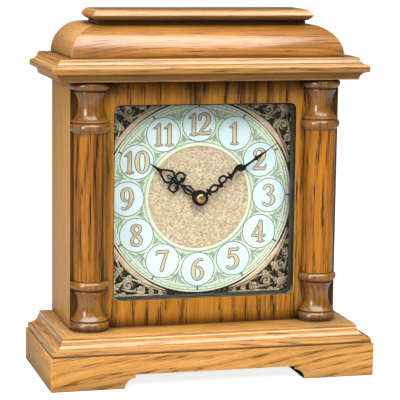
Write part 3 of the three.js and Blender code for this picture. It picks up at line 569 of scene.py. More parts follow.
def opening_round(low, high, clear):
    """The low and high X and Z of a hole that clears a piece all round."""
    return low.x - clear, high.x + clear, low.z - clear, high.z + clear


low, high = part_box("front_panel")
glass_low, glass_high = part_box("glass_pane")
WINDOW_CLEAR = 0.3 * MM
WINDOW_CORNER = 5.8 * MM
bm = framed_panel(low, high, opening_round(glass_low, glass_high, WINDOW_CLEAR), WINDOW_CORNER)
ease(bm, 0.5 * MM, 2)
make("front_veneered_panel", bm, oak_front, stands_for=["front_panel"])

# ---- half columns ----
# Split turnings glued to the front: a plain shaft between a turned base and a capital of
# the same pattern, french polished to a high gloss.
def smooth_line(points, steps=3):
    """A rounded line through a few points, each of two or three numbers."""
    line = []
    for i in range(len(points) - 1):
        near = [points[min(max(i + k, 0), len(points) - 1)] for k in (-1, 0, 1, 2)]
        for t in (s / steps for s in range(steps)):
            line.append(tuple(
                0.5 * (2 * b + (c - a) * t + (2 * a - 5 * b + 4 * c - d) * t * t
                       + (3 * b - a - 3 * c + d) * t ** 3)
                for a, b, c, d in zip(*near)))
    return line + [tuple(points[-1])]


def half_turned(template, x, y, bottom, flat_back=0.25 * MM):
    """Spins a template of (radius, height) through half a turn and closes the flat back."""
    bm = bmesh.new()
    verts = [bm.verts.new((x + r, y, bottom + h)) for r, h in template]
    edges = [bm.edges.new(pair) for pair in zip(verts, verts[1:])]
    bmesh.ops.spin(bm, geom=verts + edges, cent=(x, y, bottom), axis=(0, 0, 1), dvec=(0, 0, 0),
                   angle=-math.pi, steps=40, use_merge=False, use_duplicate=False)
    bmesh.ops.remove_doubles(bm, verts=bm.verts, dist=1e-7)
    bmesh.ops.edgeloop_fill(bm, edges=[e for e in bm.edges if len(e.link_faces) == 1])
    bmesh.ops.translate(bm, vec=(0, -flat_back, 0), verts=bm.verts)
    return bm


oak_column = oak("oak_column", "b87417", "935910", "2a1304", grain="z", flames=0.45, pores=0.8, rings=110,
                 gloss=0.3, painted_shade=0.95, shift=(0.2, 0.1, 0))
# The turned bases and capitals take a darker oak: partly a darker wood, partly painted shade for the
# capitals' place under the cornice.
oak_turned = oak("oak_turned", "9a6114", "75490d", "2a1304", grain="z", flames=0.5, pores=0.5, gloss=1.0,
                 painted_shade=0.95, shift=(0.1, 0.3, 0))
end_low, end_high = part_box("column_base_left")
END_HEIGHT = (end_high.z - end_low.z) / MM
COLUMN_X = (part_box("column_shaft_right")[0].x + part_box("column_shaft_right")[1].x) / 2
SHAFT_RADIUS = 13.8 * MM
turned_end = (
    [(0, 0), (14.8, 0)] + arc((13.0, 4.2), 4.1, -62, 58, 10)
    + [(14.8, 8.0), (14.6, 8.4), (14.9, 8.8), (15.7, 9.1)]
    + smooth_line([(15.8, 9.5), (13.2, 12.2), (11.5, 16.0), (10.7, 21.5), (11.2, 27.0), (12.9, 31.5)], 5)
    + arc((12.3, 33.1), 1.3, -50, 60, 5) + [(12.7, 34.5), (14.4, 34.9)] + arc((13.3, 38.5), 3.7, -65, 75, 9)
    + [(13.6, END_HEIGHT), (0, END_HEIGHT)]
)
for hand, way in (("left", -1), ("right", 1)):
    for level in ("base", "capital", "shaft"):
        low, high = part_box(f"column_{level}_{hand}")
        template, finish = in_mm(turned_end), oak_turned
        if level == "shaft":
            tall = high.z - low.z
            template, finish = [(0, 0), (SHAFT_RADIUS, 0), (SHAFT_RADIUS, tall), (0, tall)], oak_column
        bm = half_turned(template, way * COLUMN_X, CASE_FRONT, low.z)
        make(f"turned_{level}_{hand}", bm, finish, stands_for=[f"column_{level}_{hand}"],
             smooth=35)

# ---- glazing ----
# A pane of polished 3 mm glass let into the window, held from behind by a black bead.
glass, n, shader = new_material("window_glass")
smear = n.noise(n.place(), (18, 18, 40), detail=3.0)
n.fill(shader, Base_Color=(0.05, 0.07, 0.06, 1), Alpha=0.05, IOR=1.5,
       Roughness=n.step(smear, 0.35, 0.7, 0.02, 0.06))
# The pane's edge is painted: a pale green line along the bottom is a painted highlight, and dark brown on the
# rest is painted shade.
glass_edge_painted_light, n, shader = new_material("glass_edge_painted_light")
edge_cloud = n.cloud(60)
height = n.fill(n.add("ShaderNodeSeparateXYZ"), Vector=n.place()).outputs["Z"]
edge_highlight_green = n.blend(n.step(edge_cloud, 0.3, 0.7), linear("9fae9f"), linear("c4cec3"))
lit_low_edge = n.step(height, glass_low.z, glass_low.z + 0.01, 1.0, 0.0)
n.fill(shader, Base_Color=n.blend(lit_low_edge, linear("2a2117"), edge_highlight_green),
       Roughness=n.step(edge_cloud, 0.3, 0.7, 0.12, 0.3))
bm = bmesh.new()
round_rectangle(bm, *opening_round(glass_low, glass_high, 0), glass_low.y, WINDOW_CORNER - WINDOW_CLEAR)
thicken(bm, (0, glass_high.y - glass_low.y, 0))
low_corner = glass_low.z + WINDOW_CORNER
front_edges = [e for e in cut_back(bm)
               if all(v.co.y < glass_low.y + 1e-6 and v.co.z < low_corner for v in e.verts)]
ease(bm, 0.7 * MM, 1, front_edges)
for face in bm.faces:
    face.material_index = 0 if abs(face.normal.y) > 0.99 else 1
make("window_pane", bm, [glass, glass_edge_painted_light], stands_for=["glass_pane"])

black_trim, n, shader = new_material("black_trim_paint")
flock = n.cloud(900)
n.fill(shader, Base_Color=n.blend(flock, linear("211d14"), linear("3a3425")),
       Roughness=n.step(flock, 0.3, 0.7, 0.6, 0.9), Normal=n.bump(flock, 0.3, 0.0001))


def finish_cad(material, *names):
    """Gives CAD pieces that are kept as they are their material."""
    for name in names:
        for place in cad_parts[name].material_slots:
            place.material = material


finish_cad(black_trim, "glass_bead", "dial_battens")

# ---- dial: ring, discs and minute track ----
# A stamped brass ring enamelled pale green, with a raised cream rim each side, twelve
# white discs and printed dark lines.
ring_low, ring_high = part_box("chapter_ring")
DIAL_Z = (ring_low.z + ring_high.z) / 2
RING_OUT = ring_high.x
RING_FACE = ring_low.y
RING_IN = 44.4 * MM


def clock_point(radius, angle):
    """X and Z of a point on the dial, its angle in degrees clockwise from twelve."""
    a = math.radians(angle)
    return radius * math.sin(a), DIAL_Z + radius * math.cos(a)


def spin_round(bm, section, x, z, steps, closed=True):
    """Turns a section of (radius, y) points all round the line through x and z."""
    verts = [bm.verts.new((x + r, y, z)) for r, y in section]
    edges = [bm.edges.new(pair) for pair in zip(verts, verts[1:] + verts[:1] if closed else verts[1:])]
    bmesh.ops.spin(bm, geom=verts + edges, cent=(x, 0, z), axis=(0, 1, 0), dvec=(0, 0, 0),
                   angle=2 * math.pi, steps=steps, use_merge=True, use_duplicate=False)


def add_band(bm, inner, outer, front, rear, steps=120, centre=None, crown=0.0):
    """A flat ring about Y; crown raises the middle of its face."""
    x, z = centre or (0, DIAL_Z)
    middle = ((inner + outer) / 2, front - crown)
    spin_round(bm, [(inner, rear), (inner, front), middle, (outer, front), (outer, rear)], x, z, steps)


def strokes(name, lines, front, depth, grow=0.0, round_ends=True, sides=1):
    """Raised rounded lines on the dial plane: lists of (x, z, half width), drawn as one mesh."""
    curve = bpy.data.curves.new(name, "CURVE")
    curve.dimensions = "3D"
    curve.bevel_depth = 1.0
    curve.bevel_resolution = sides
    curve.use_fill_caps = True
    curve.twist_mode = "Z_UP"
    for line in lines:
        first, last = Vector(line[0][:2]), Vector(line[-1][:2])
        into, out = (first - Vector(line[1][:2])).normalized(), (last - Vector(line[-2][:2])).normalized()
        points = list(line)
        if round_ends:
            for part, thin in ((0.45, 0.85), (0.8, 0.5), (0.97, 0.08)):
                a, b = first + into * (line[0][2] + grow) * part, last + out * (line[-1][2] + grow) * part
                points.insert(0, (a.x, a.y, (line[0][2] + grow) * thin - grow))
                points.append((b.x, b.y, (line[-1][2] + grow) * thin - grow))
        spline = curve.splines.new("POLY")
        spline.points.add(len(points) - 1)
        for point, (x, z, half) in zip(spline.points, points):
            point.co = (x, z, 0, 1)
            point.radius = max(half + grow, 2e-5)
    drawn = bpy.data.objects.new(name, curve)
    bpy.context.scene.collection.objects.link(drawn)
    mesh = bpy.data.meshes.new_from_object(drawn.evaluated_get(bpy.context.evaluated_depsgraph_get()))
    bm = bmesh.new()
    bm.from_mesh(mesh)
    bpy.data.objects.remove(drawn)
    bpy.data.curves.remove(curve)
    bpy.data.meshes.remove(mesh)
    for vert in bm.verts:
        x, z, height = vert.co
        vert.co = (x, front - max(min(height, depth), -depth), z)
    return bm


def enamel(name, light, dark, scale=60, rough=(0.3, 0.45), speck=None, coat=0.3):
    """Printed or enamelled metal with a slight mottle and, if asked, fine specks."""
    material, n, shader = new_material(name)
    mottle = n.cloud(scale, 3.0)
    colour = n.blend(n.step(mottle, 0.35, 0.7), linear(light), linear(dark))
    if speck:
        colour = n.blend(n.step(n.cloud(700), 0.5, 0.66, 0.0, 0.7), colour, linear(speck))
    n.fill(shader, Base_Color=colour, Roughness=n.step(mottle, 0.3, 0.7, *rough), Coat_Weight=coat,
           Coat_Roughness=0.2, Normal=n.bump(mottle, 0.1, 0.0001))
    return material


ring_enamel = enamel("pale_green_enamel", "ecfbe2", "dff2d4")
cream_enamel = enamel("cream_enamel", "f4fadf", "e6f1cd")
disc_enamel = enamel("white_enamel", "eaffff", "e2fdff")
line_print = enamel("dark_green_print", "4d5f50", "65775f", speck="2f3a30")
leaf_print = enamel("grey_green_print", "9cb195", "b4c8ad", 300, speck="5f7358")
black_print = enamel("black_print", "20241f", "30352d")

bm = bmesh.new()
add_band(bm, RING_IN, RING_OUT, RING_FACE, ring_high.y)
make("ring_plate", bm, ring_enamel, stands_for=["chapter_ring"])
RIM_FRONT, RIM_REAR = RING_FACE - 0.3 * MM, RING_FACE + 0.1 * MM
bm = bmesh.new()
add_band(bm, 81.7 * MM, RING_OUT, RIM_FRONT, RIM_REAR, crown=0.15 * MM)
add_band(bm, RING_IN, 46.9 * MM, RIM_FRONT, RIM_REAR, crown=0.2 * MM)
make("ring_rims", bm, cream_enamel)

PRINT = 0.06 * MM
DISC_FACE = RING_FACE - 0.15 * MM
disc_centres = [clock_point(63 * MM, 30 * hour) for hour in range(12)]
bm = bmesh.new()
for inner, outer in ((81.15, 81.6), (78.75, 79.05), (47.15, 47.5), (48.0, 48.25)):
    add_band(bm, inner * MM, outer * MM, RING_FACE - PRINT, RING_FACE + PRINT)
for centre in disc_centres:
    add_band(bm, 14.5 * MM, 15.1 * MM, RING_FACE - 0.22 * MM, RING_FACE + PRINT, 48, centre)
make("ring_lines", bm, line_print)

bm = bmesh.new()
for centre in disc_centres:
    add_band(bm, 0.01 * MM, 14.55 * MM, DISC_FACE, RING_FACE + PRINT, 48, centre)
make("number_discs", bm, disc_enamel)

minute_lines, five_lines = [], []
for minute in range(60):
    if minute % 5:
        minute_lines.append([clock_point(r * MM, 6 * minute) + (0.16 * MM,) for r in (79.0, 81.2)])
    else:
        five_lines.append([clock_point(r * MM, 6 * minute) + (0.55 * MM,) for r in (78.0, 80.9)])
        for r in (77.8, 81.0):
            five_lines.append([clock_point(r * MM, 6 * minute + a) + (0.28 * MM,) for a in (-0.8, 0.8)])
for name, lines, raised, ink in (("minute_marks", minute_lines, PRINT, line_print),
                                 ("five_minute_marks", five_lines, PRINT * 1.5, black_print)):
    make(name, strokes(name, lines, RING_FACE, raised, round_ends=False), ink)

# ---- dial: leaves between the discs ----
# A small spray of three leaves is printed in each corner that the discs leave free; each
# is points of (radius, degrees from the spray's middle, half width).
PAIRED_LEAVES = (
    ((67.2, 0, .3), (70.5, .9, .8), (73.5, 2.6, 1.15), (75.6, 5.0, .9), (76.9, 8.2, .25)),
    ((69.5, .8, .3), (71.2, 2.9, .7), (71.9, 4.2, .3)), ((73.6, 1.2, .3), (75.4, 2.2, .6), (76.4, 3.9, .25)),
    ((56.0, 0, .3), (53.2, 1.2, .8), (50.9, 3.6, .9), (49.6, 7.6, .25)),
    ((53.2, .3, .3), (50.6, 1.1, .6), (49.3, 2.6, .2)),
)
MIDDLE_LEAVES = (((66.0, 0, .35), (70.0, 0, .75), (74.0, 0, .8), (77.4, 0, .2)),
                 ((57.3, 0, .25), (54.5, 0, .75), (51.0, 0, .65), (48.9, 0, .2)))
leaf_lines = []
for hour in range(12):
    for leaves, way in ((PAIRED_LEAVES, -1), (PAIRED_LEAVES, 1), (MIDDLE_LEAVES, 1)):
        for leaf in leaves:
            leaf_lines.append(smooth_line([
                clock_point(r * MM, 30 * hour + 15 + a * way) + (w * 0.82 * MM,) for r, a, w in leaf]))
make("ring_leaves", strokes("leaves", leaf_lines, RING_FACE, 0.1 * MM), leaf_print)

# ---- dial: numbers ----
# Cast numbers with a dark printed shadow line, gilded; each stroke is listed as points of
# (across, up, half thickness) in heights of the number.
SIX = [[(.76, .93, .06), (.6, .96, .05), (.38, .82, .08), (.25, .58, .11), (.24, .3, .11), (.34, .08, .07),
        (.5, .02, .05), (.68, .1, .08), (.77, .3, .1), (.7, .5, .08), (.54, .6, .045), (.38, .54, .035),
        (.28, .42, .035)]]
DIGITS = {
    "0": [[(.5, .98, .045), (.28, .84, .1), (.2, .5, .12), (.28, .16, .1), (.5, .02, .045), (.72, .16, .1),
           (.8, .5, .12), (.72, .84, .1), (.5, .98, .045)]],
    "1": [[(.5, .03, .1), (.5, .88, .1)], [(.53, .97, .06), (.42, .88, .05), (.28, .8, .03)],
          [(.24, .79, .045), (.27, .8, .045)], [(.3, .02, .04), (.7, .02, .04)]],
    "2": [[(.2, .72, .07), (.22, .86, .07), (.42, .97, .05), (.66, .9, .095), (.74, .72, .11),
           (.62, .5, .095), (.38, .27, .06), (.18, .08, .04)], [(.17, .07, .075), (.78, .07, .075)],
          [(.82, .1, .035), (.86, .24, .03)]],
    "3": [[(.22, .8, .065), (.32, .93, .055), (.5, .97, .055), (.68, .88, .09), (.7, .72, .095),
           (.58, .58, .055), (.42, .54, .035)],
          [(.42, .54, .035), (.62, .5, .055), (.76, .36, .1), (.74, .18, .1), (.58, .05, .065),
           (.36, .03, .055), (.2, .12, .07)]],
    "4": [[(.62, .97, .05), (.14, .33, .04)], [(.12, .3, .055), (.86, .3, .055)],
          [(.62, .95, .095), (.62, .03, .095)], [(.42, .03, .035), (.82, .03, .035)]],
    "5": [[(.32, .92, .065), (.75, .92, .07), (.82, .99, .035)], [(.32, .92, .055), (.27, .55, .055)],
          [(.27, .56, .04), (.42, .64, .06), (.62, .6, .09), (.76, .42, .11), (.72, .2, .1), (.55, .05, .065),
           (.32, .03, .05), (.2, .1, .07)]],
    "6": SIX,
    "7": [[(.2, .92, .08), (.8, .92, .08)], [(.18, .95, .035), (.15, .78, .025)],
          [(.78, .9, .055), (.62, .55, .07), (.46, .06, .09)]],
    "8": [[(.5, .97, .05), (.3, .88, .08), (.28, .72, .09), (.42, .58, .09), (.62, .42, .1), (.76, .26, .095),
           (.7, .09, .065), (.5, .02, .05), (.3, .09, .065), (.24, .26, .075), (.36, .44, .055),
           (.6, .58, .05), (.72, .74, .065), (.68, .9, .065), (.5, .97, .05)]],
    "9": [[(1 - x, 1 - y, w) for x, y, w in SIX[0]]],
}
NUMBER_HEIGHT = 18.6 * MM
NUMBER_SQUEEZE = 0.8
PAIRS = {10: (-.33, .25), 11: (-.22, .28), 12: (-.26, .25)}
number_lines = []
for hour in range(1, 13):
    x, z = clock_point(63 * MM, 30 * hour)
    for digit, shift in zip(str(hour), PAIRS.get(hour, (0,))):
        for line in DIGITS[digit]:
            number_lines.append(smooth_line([
                (x + ((u - .5) * NUMBER_SQUEEZE + shift) * NUMBER_HEIGHT, z + (v - .5) * NUMBER_HEIGHT,
                 w * NUMBER_HEIGHT * .84) for u, v, w in line], 4))
number_gilt = enamel("number_gilt", "ecd8b4", "dcc49a", 120, (0.25, 0.4), coat=0.2)
number_edge = enamel("number_edge", "4b4034", "5c4f40", 120)
bm = strokes("edges", number_lines, DISC_FACE, 0.08 * MM, grow=0.5 * MM)
make("number_edges", bm, number_edge)
make("numbers", strokes("numbers", number_lines, DISC_FACE, 0.22 * MM), number_gilt)

# ---- dial: engraved centre ----
# A disc of brushed gold, covered with shallow chased foliage that catches the light.
centre_low, centre_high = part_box("dial_centre")
CENTRE_FACE = centre_low.y
gilt_ground, n, shader = new_material("gilt_ground")
speckle = n.cloud(430, 3.0, 1.0)
ground = n.blend(n.step(speckle, 0.36, 0.68), linear("bda67e"), linear("f4e8cc"))
rosy = n.step(n.cloud(110, 3.0), 0.4, 0.66, 0.0, 0.45)
n.fill(shader, Base_Color=n.blend(rosy, ground, linear("d8bfa2")), Metallic=0.15,
       Roughness=n.step(speckle, 0.3, 0.7, 0.35, 0.55), Normal=n.bump(speckle, 0.6, 0.0003))
bm = bmesh.new()
add_band(bm, 5 * MM, centre_high.x, CENTRE_FACE, centre_high.y)
make("centre_plate", bm, gilt_ground, stands_for=["dial_centre"])

rng = random.Random(7)


def scroll(x, z, radius, start, turns, width):
    """A foliage scroll: a spiral that opens out from its eye, thickest halfway along."""
    count = max(int(abs(turns) * 9), 5)
    line = []
    for i in range(count + 1):
        t = i / count
        a = math.radians(start) + turns * 2 * math.pi * t
        r = radius * (0.16 + 0.84 * t)
        half = width * (0.45 + 1.1 * math.sin(math.pi * min(t * 0.9 + 0.1, 1)))
        line.append((x + r * math.cos(a), z + r * math.sin(a), half))
    return line


chased = []
for radius, count, size in ((12.5, 8, 3.1), (20.5, 12, 3.6), (29.0, 16, 3.9), (37.5, 22, 3.7)):
    for i in range(count):
        angle = 360 * (i + 0.5 * (count % 3)) / count
        x, z = clock_point(radius * MM, angle)
        way = 1 if i % 2 else -1
        start = 90 - angle + 90 * way + rng.uniform(-25, 25)
        chased.append(scroll(x, z, size * MM, start, 1.15 * way, 0.42 * MM))
        for side in (-1, 1):
            a = angle + side * 180 / count
            x1, z1 = clock_point((radius + 3.2 * side) * MM, a)
            x2, z2 = clock_point((radius + 0.4 * side + rng.uniform(-1, 1)) * MM, a + 5 * way)
            halfway = ((x1 + x2) / 2, (z1 + z2) / 2, 0.5 * MM)
            chased.append([(x1, z1, 0.15 * MM), halfway, (x2, z2, 0.15 * MM)])
chased_gilt = enamel("chased_gilt", "f3e6c4", "d2bd90", 400, (0.22, 0.4), coat=0.3)
make("centre_foliage", strokes("foliage", chased, CENTRE_FACE, 0.3 * MM), chased_gilt)

# ---- dial: corner castings ----
# Four cast corner pieces of scrolled foliage, antiqued so that the ground is nearly black
# and the high parts are rubbed bright; a smooth band follows the ring.
corner_low, corner_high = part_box("spandrel_top_right")
CORNER_FACE = corner_low.y
CORNERS = (("top_right", 1, 1, 45), ("top_left", -1, 1, 315), ("bottom_left", -1, -1, 225),
           ("bottom_right", 1, -1, 135))
antique_ground, n, shader = new_material("antique_ground")
pits = n.cloud(600, 3.0)
n.fill(shader, Base_Color=n.blend(n.step(pits, 0.52, 0.68), linear("17130b"), linear("8d7a58")), Metallic=0.3,
       Roughness=n.step(pits, 0.3, 0.7, 0.45, 0.7), Normal=n.bump(pits, 0.6, 0.0003))
finish_cad(antique_ground, "dial_plate", *[f"spandrel_{corner[0]}" for corner in CORNERS])


def rubbed_metal(name, light, shade, low, cuts=0.4):
    """Antiqued metal, rubbed bright in patches and chased with fine dark cuts."""
    material, n, shader = new_material(name)
    rub = n.cloud(520, 3.0)
    chasing = n.add("ShaderNodeTexVoronoi", feature="DISTANCE_TO_EDGE")
    n.fill(chasing, Vector=n.place(), Scale=620)
    cut_line = n.step(chasing.outputs["Distance"], 0.03, 0.16, cuts, 0.0)
    colour = n.blend(n.step(rub, 0.38, 0.62), linear(light), linear(shade))
    colour = n.blend(n.step(n.cloud(90), 0.45, 0.7, 0.0, 0.6), colour, linear(low))
    n.fill(shader, Base_Color=n.blend(cut_line, colour, linear("1a1209")), Metallic=0.15,
           Roughness=n.step(rub, 0.3, 0.7, 0.28, 0.5), Normal=n.bump(rub, 0.4, 0.0002))
    return material


lit_corner_relief = rubbed_metal("rubbed_brass_painted_lit", "fff2d6", "e9d3a8", "c4ab7e")
shaded_corner_relief = rubbed_metal("rubbed_brass_painted_shade", "f0dcb8", "c4ab84", "80684a")
band_relief = rubbed_metal("corner_band", "fbe2c4", "eccda8", "cdb08c", 0)


def corner_scrolls():
    """Half of one corner's pattern, laid out by radius and degrees from the diagonal."""
    lines = []

    def at(radius, angle):
        a = math.radians(45 - angle)
        return radius * math.cos(a) * MM, radius * math.sin(a) * MM

    for radius, angle, size, start, turns, width in (
        (97.5, 5.6, 4.6, 150, 1.35, .62), (93.4, 12.3, 3.4, 330, -1.3, .55),
        (90.6, 18.2, 2.6, 120, 1.25, .48),
        (88.9, 23.2, 1.9, 330, -1.2, .4), (106.3, 6.8, 3.0, 60, -1.3, .5), (100.3, 13.2, 2.6, 200, 1.25, .45),
        (95.3, 18.9, 2.0, 20, -1.2, .4), (91.8, 24.2, 1.4, 200, 1.1, .34), (112.6, 4.6, 1.7, 250, 1.2, .36),
        (91.2, 3.4, 2.6, 30, -1.2, .45), (88.8, 9.0, 1.6, 200, 1.2, .36), (101.9, 1.9, 1.8, 90, 1.1, .36),
    ):
        x, z = at(radius, angle)
        lines.append(scroll(x, z, size * MM, start, turns, width * 1.42 * MM))
    for path in (
        ((104, .6, .2), (99.5, 2.2, .7), (94.5, 2.6, .8), (90.6, 5.6, .6), (88.6, 10.5, .5), (87.6, 17, .4),
         (86.8, 26, .2)),
        ((109, 3, .3), (106, 9.2, .6), (100.5, 11.2, .5), (96.5, 15.5, .5), (92.8, 20.4, .4), (90, 27, .2)),
        ((103, 4, .2), (101, 6.9, .7), (98.2, 9.6, .7), (95.2, 10, .3)),
        ((98.6, 8.6, .2), (97, 12, .6), (94.9, 14.6, .55), (92.6, 14.8, .2)),
        ((108, 6, .2), (103.6, 9.6, .55), (102.6, 13, .2)),
        ((113.5, 1.6, .2), (109.6, 4.9, .5), (110.6, 6.4, .2)),
        ((95.4, .4, .2), (93.4, 2, .55), (92.6, 5.4, .2)),
        ((90.2, 12.6, .2), (88.6, 14.5, .45), (89.6, 17, .15)),
    ):
        lines.append(smooth_line([at(r, a) + (w * 1.35 * MM,) for r, a, w in path]))
    return lines


half_pattern = corner_scrolls()
full_pattern = half_pattern + [[(z, x, w) for x, z, w in line] for line in half_pattern]
inside = corner_high.x - 0.6 * MM
RELIEF, ROSE = 0.75 * MM, 76.2
for corner, sx, sz, middle in CORNERS:
    placed = [[(sx * min(x, inside), DIAL_Z + sz * min(z, inside), w) for x, z, w in line]
              for line in full_pattern]
    relief = strokes("scrolls", placed, CORNER_FACE, RELIEF)
    for around in range(9):
        a = math.radians(around * 40 + 5)
        x, z = (ROSE + 5.6 * math.cos(a)) * MM, (ROSE + 5.6 * math.sin(a)) * MM
        petal = bmesh.ops.create_uvsphere(relief, u_segments=12, v_segments=6, radius=1.15 * MM)["verts"]
        bmesh.ops.scale(relief, vec=(1, 0.5, 1), verts=petal)
        bmesh.ops.translate(relief, vec=(sx * x, CORNER_FACE, DIAL_Z + sz * z), verts=petal)
    boss = bmesh.ops.create_uvsphere(relief, u_segments=28, v_segments=14, radius=4.9 * MM)["verts"]
    bmesh.ops.scale(relief, vec=(1, 0.26, 0.82), verts=boss)
    bmesh.ops.rotate(relief, matrix=Matrix.Rotation(math.radians(45 * sx * sz), 3, "Y"), verts=boss)
    bmesh.ops.translate(relief, vec=(sx * ROSE * MM, CORNER_FACE, DIAL_Z + sz * ROSE * MM), verts=boss)
    # The left corners take a lighter copy of the metal and the right corners a darker one: painted light on
    # the left and painted shade on the right.
    metal = lit_corner_relief if sx < 0 else shaded_corner_relief
    make(f"corner_scrolls_{corner}", relief, metal)
    band = [clock_point((85.0 + 0.9 * math.cos(math.radians(a * 3.6))) * MM, middle + a)
            + ((0.4 + 2.0 * math.cos(math.radians(a * 3.4)) ** 2) * MM,) for a in range(-25, 26, 2)]
    bm = strokes("band", [band], CORNER_FACE, 0.5 * MM, sides=2)
    make(f"corner_band_{corner}", bm, band_relief)

# ---- hands ----
# Pierced hands pressed from thin steel, lacquered black, with a domed brass nut.
hand_black, n, shader = new_material("black_lacquer")
pitting = n.cloud(300)
n.fill(shader, Base_Color=n.blend(pitting, linear("070807"), linear("121411")),
       Roughness=n.step(pitting, 0.3, 0.7, 0.4, 0.55), Specular_IOR_Level=0.25)


def hand(name, node, body, angle, lines, rings, discs, thickness, bold):
    """Lays out a hand drawn pointing up, turned to its angle on the dial."""
    low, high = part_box(node)
    a = math.radians(angle)

    def turned(x, along):
        return ((x * math.cos(a) + along * math.sin(a)) * MM,
                DIAL_Z + (along * math.cos(a) - x * math.sin(a)) * MM)

    drawn = [[turned(x, y) + (w * bold * MM,) for x, y, w in smooth_line(line)] for line in lines]
    for x, y, rx, ry, w in rings:
        turns = [t * math.pi / 12 for t in range(25)]
        drawn.append([turned(x + rx * math.cos(t), y + ry * math.sin(t)) + (w * bold * MM,) for t in turns])
    plane = (low.y + high.y) / 2
    bm = strokes(name, drawn, plane, thickness / 2)
    for x, y, r in discs:
        centre = turned(x, y)
        add_band(bm, 0.01 * MM, r * MM, plane - thickness / 2, plane + thickness / 2, 20, centre)
    hub = thickness * 0.6
    add_band(bm, 2.6 * MM, 6.8 * MM, plane - hub, plane + hub, 40, (0, DIAL_Z), 0.1 * MM)
    make(name, bm, hand_black, body=body, stands_for=[node], smooth=45)


hour_lines = [
    [(0, 6, 1.1), (0, 18.5, .85), (0, 29, .75)],
    [(1.2, 18.5, .5), (0, 15.5, .5), (-1.2, 18.5, .5)],
]
for way in (-1, 1):
    hour_lines += [
        [(0, 18.5, .7), (2.6 * way, 14.5, .6), (3.2 * way, 12, .6), (2 * way, 7, .6)],
        [(2.8 * way, 12.6, .7), (4.6 * way, 12.4, .35)],
        [(8.8 * way, 21.8, .7), (10.2 * way, 20.6, .3)],
        [(7.8 * way, 27.6, .6), (9.4 * way, 28.8, .3)],
        [(0, 29, .8), (3.6 * way, 29.8, .8), (5.5 * way, 33, .85), (3.4 * way, 38, .8), (0.6 * way, 43, .8)],
        [(0, 28.6, .6), (1.3 * way, 32.6, .6), (0, 35.4, .3)],
    ]
hour_lines.append([(0, 42, 1.5), (0, 46, 1.05), (0, 53, .3)])
hand("hour_hand_pressing", "hour_hand", "hour_hand", 304.65, hour_lines,
     [(5.1, 24.4, 4.0, 4.0, .78), (-5.1, 24.4, 4.0, 4.0, .78)], [(4.1, 21.6, 2.1), (-4.1, 21.6, 2.1)],
     0.6 * MM, 1.2)

minute_lines = [
    [(0, 6, 1.2), (0, 10.2, .8)], [(-2.6, 9, .9), (2.6, 9, .9)],
    [(0, 18.4, .7), (1.6, 20.9, 1.3), (-1, 22.4, .6)],
    [(-1.4, 28.6, .6), (0, 32, 1.3), (-1.2, 36, 1.0), (-2.6, 41, 1.8), (-1.2, 43.5, 2.5), (0, 46, 1.8),
     (0, 48.5, .9), (0, 54, .75), (0, 58, .8)],
    [(0, 32, .9), (-4.3, 31.9, .4)], [(0, 31.6, .9), (2.7, 30.7, .4)], [(0, 44.6, .9), (2.5, 45.4, .35)],
    [(-2.0, 60, .45), (0, 59.2, 1.15), (2.0, 60, .45)],
    [(0, 58, .9), (0, 62, 1.1), (0, 70, .42), (0, 82, .25)],
]
hand("minute_hand_pressing", "minute_hand", "minute_hand", 55.8, minute_lines,
     [(0, 14.4, 2.6, 3.9, .75), (-2, 25, 2.7, 3.4, .75)], [(1.6, 20.9, 1.9), (0, 32, 2.1)], 0.6 * MM, 1.35)


def metal(name, light, dark, scale, rough, metallic=1.0, bump=0.15):
    """Turned or rolled metal: fine marks along one direction and a slow change of tone."""
    material, n, shader = new_material(name)
    marks = n.noise(n.place(), scale, detail=3.0)
    n.fill(shader, Base_Color=n.blend(n.step(marks, 0.35, 0.7), linear(light), linear(dark)),
           Metallic=metallic, Roughness=n.step(marks, 0.3, 0.7, *rough), Normal=n.bump(marks, bump, 0.0001))
    return material


brass = metal("turned_brass", "f3d788", "e0b65a", (500, 60, 500), (0.26, 0.38))
nut_low, nut_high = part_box("hand_nut")
NUT_RADIUS = (nut_high.x - nut_low.x) / 2
depth = nut_high.y - nut_low.y
dome = [(0.9 * MM, nut_high.y), (NUT_RADIUS, nut_high.y), (NUT_RADIUS, nut_low.y + depth * 0.5),
        (3.6 * MM, nut_low.y + depth * 0.28), (2.6 * MM, nut_low.y + depth * 0.1), (1.4 * MM, nut_low.y),
        (0.9 * MM, nut_low.y)]
bm = bmesh.new()
spin_round(bm, dome, 0, DIAL_Z, 40)
ease(bm, 0.15 * MM)
make("domed_nut", bm, brass, body="minute_hand", stands_for=["hand_nut"])

# ---- movement ----
# A battery movement: black moulded case and cover, white wheels on steel pins, a coil on
# a laminated stator, a small board and one cell between sprung contacts.
def moulded(name, light, dark, grain=700, rough=(0.4, 0.6)):
    return enamel(name, light, dark, grain, rough, coat=0.0)


movement_black = moulded("black_moulding", "1d1e1f", "2a2b2c")
wheel_white = moulded("white_moulding", "e8e6dc", "d8d5c8", 300)
board_green = enamel("board_green", "2e6b43", "3c7d50", 200, speck="c9b15a")
coil_copper = metal("coil_copper", "c8713c", "8f4a22", (4000, 200, 200), (0.25, 0.45), bump=0.8)
rolled_steel = metal("rolled_steel", "a9abad", "8d9093", (60, 900, 900), (0.25, 0.4))
cell_wrap = enamel("cell_wrap", "2b2f36", "3b4049", 40, (0.2, 0.35), coat=0.6)
magnet = metal("magnet_grey", "54565a", "3c3e42", (600, 600, 600), (0.5, 0.7), 0.6)
finish_cad(movement_black, "movement_case", "movement_cover", "setting_knob")
finish_cad(wheel_white, "hour_wheel", "minute_wheel", "third_wheel", "seconds_wheel")
finish_cad(magnet, "rotor")
finish_cad(brass, "fixing_nut", "centre_arbor")
finish_cad(rolled_steel, "stator", "contact_negative", "contact_positive")
finish_cad(coil_copper, "coil")
finish_cad(board_green, "circuit_board")
finish_cad(cell_wrap, "battery")

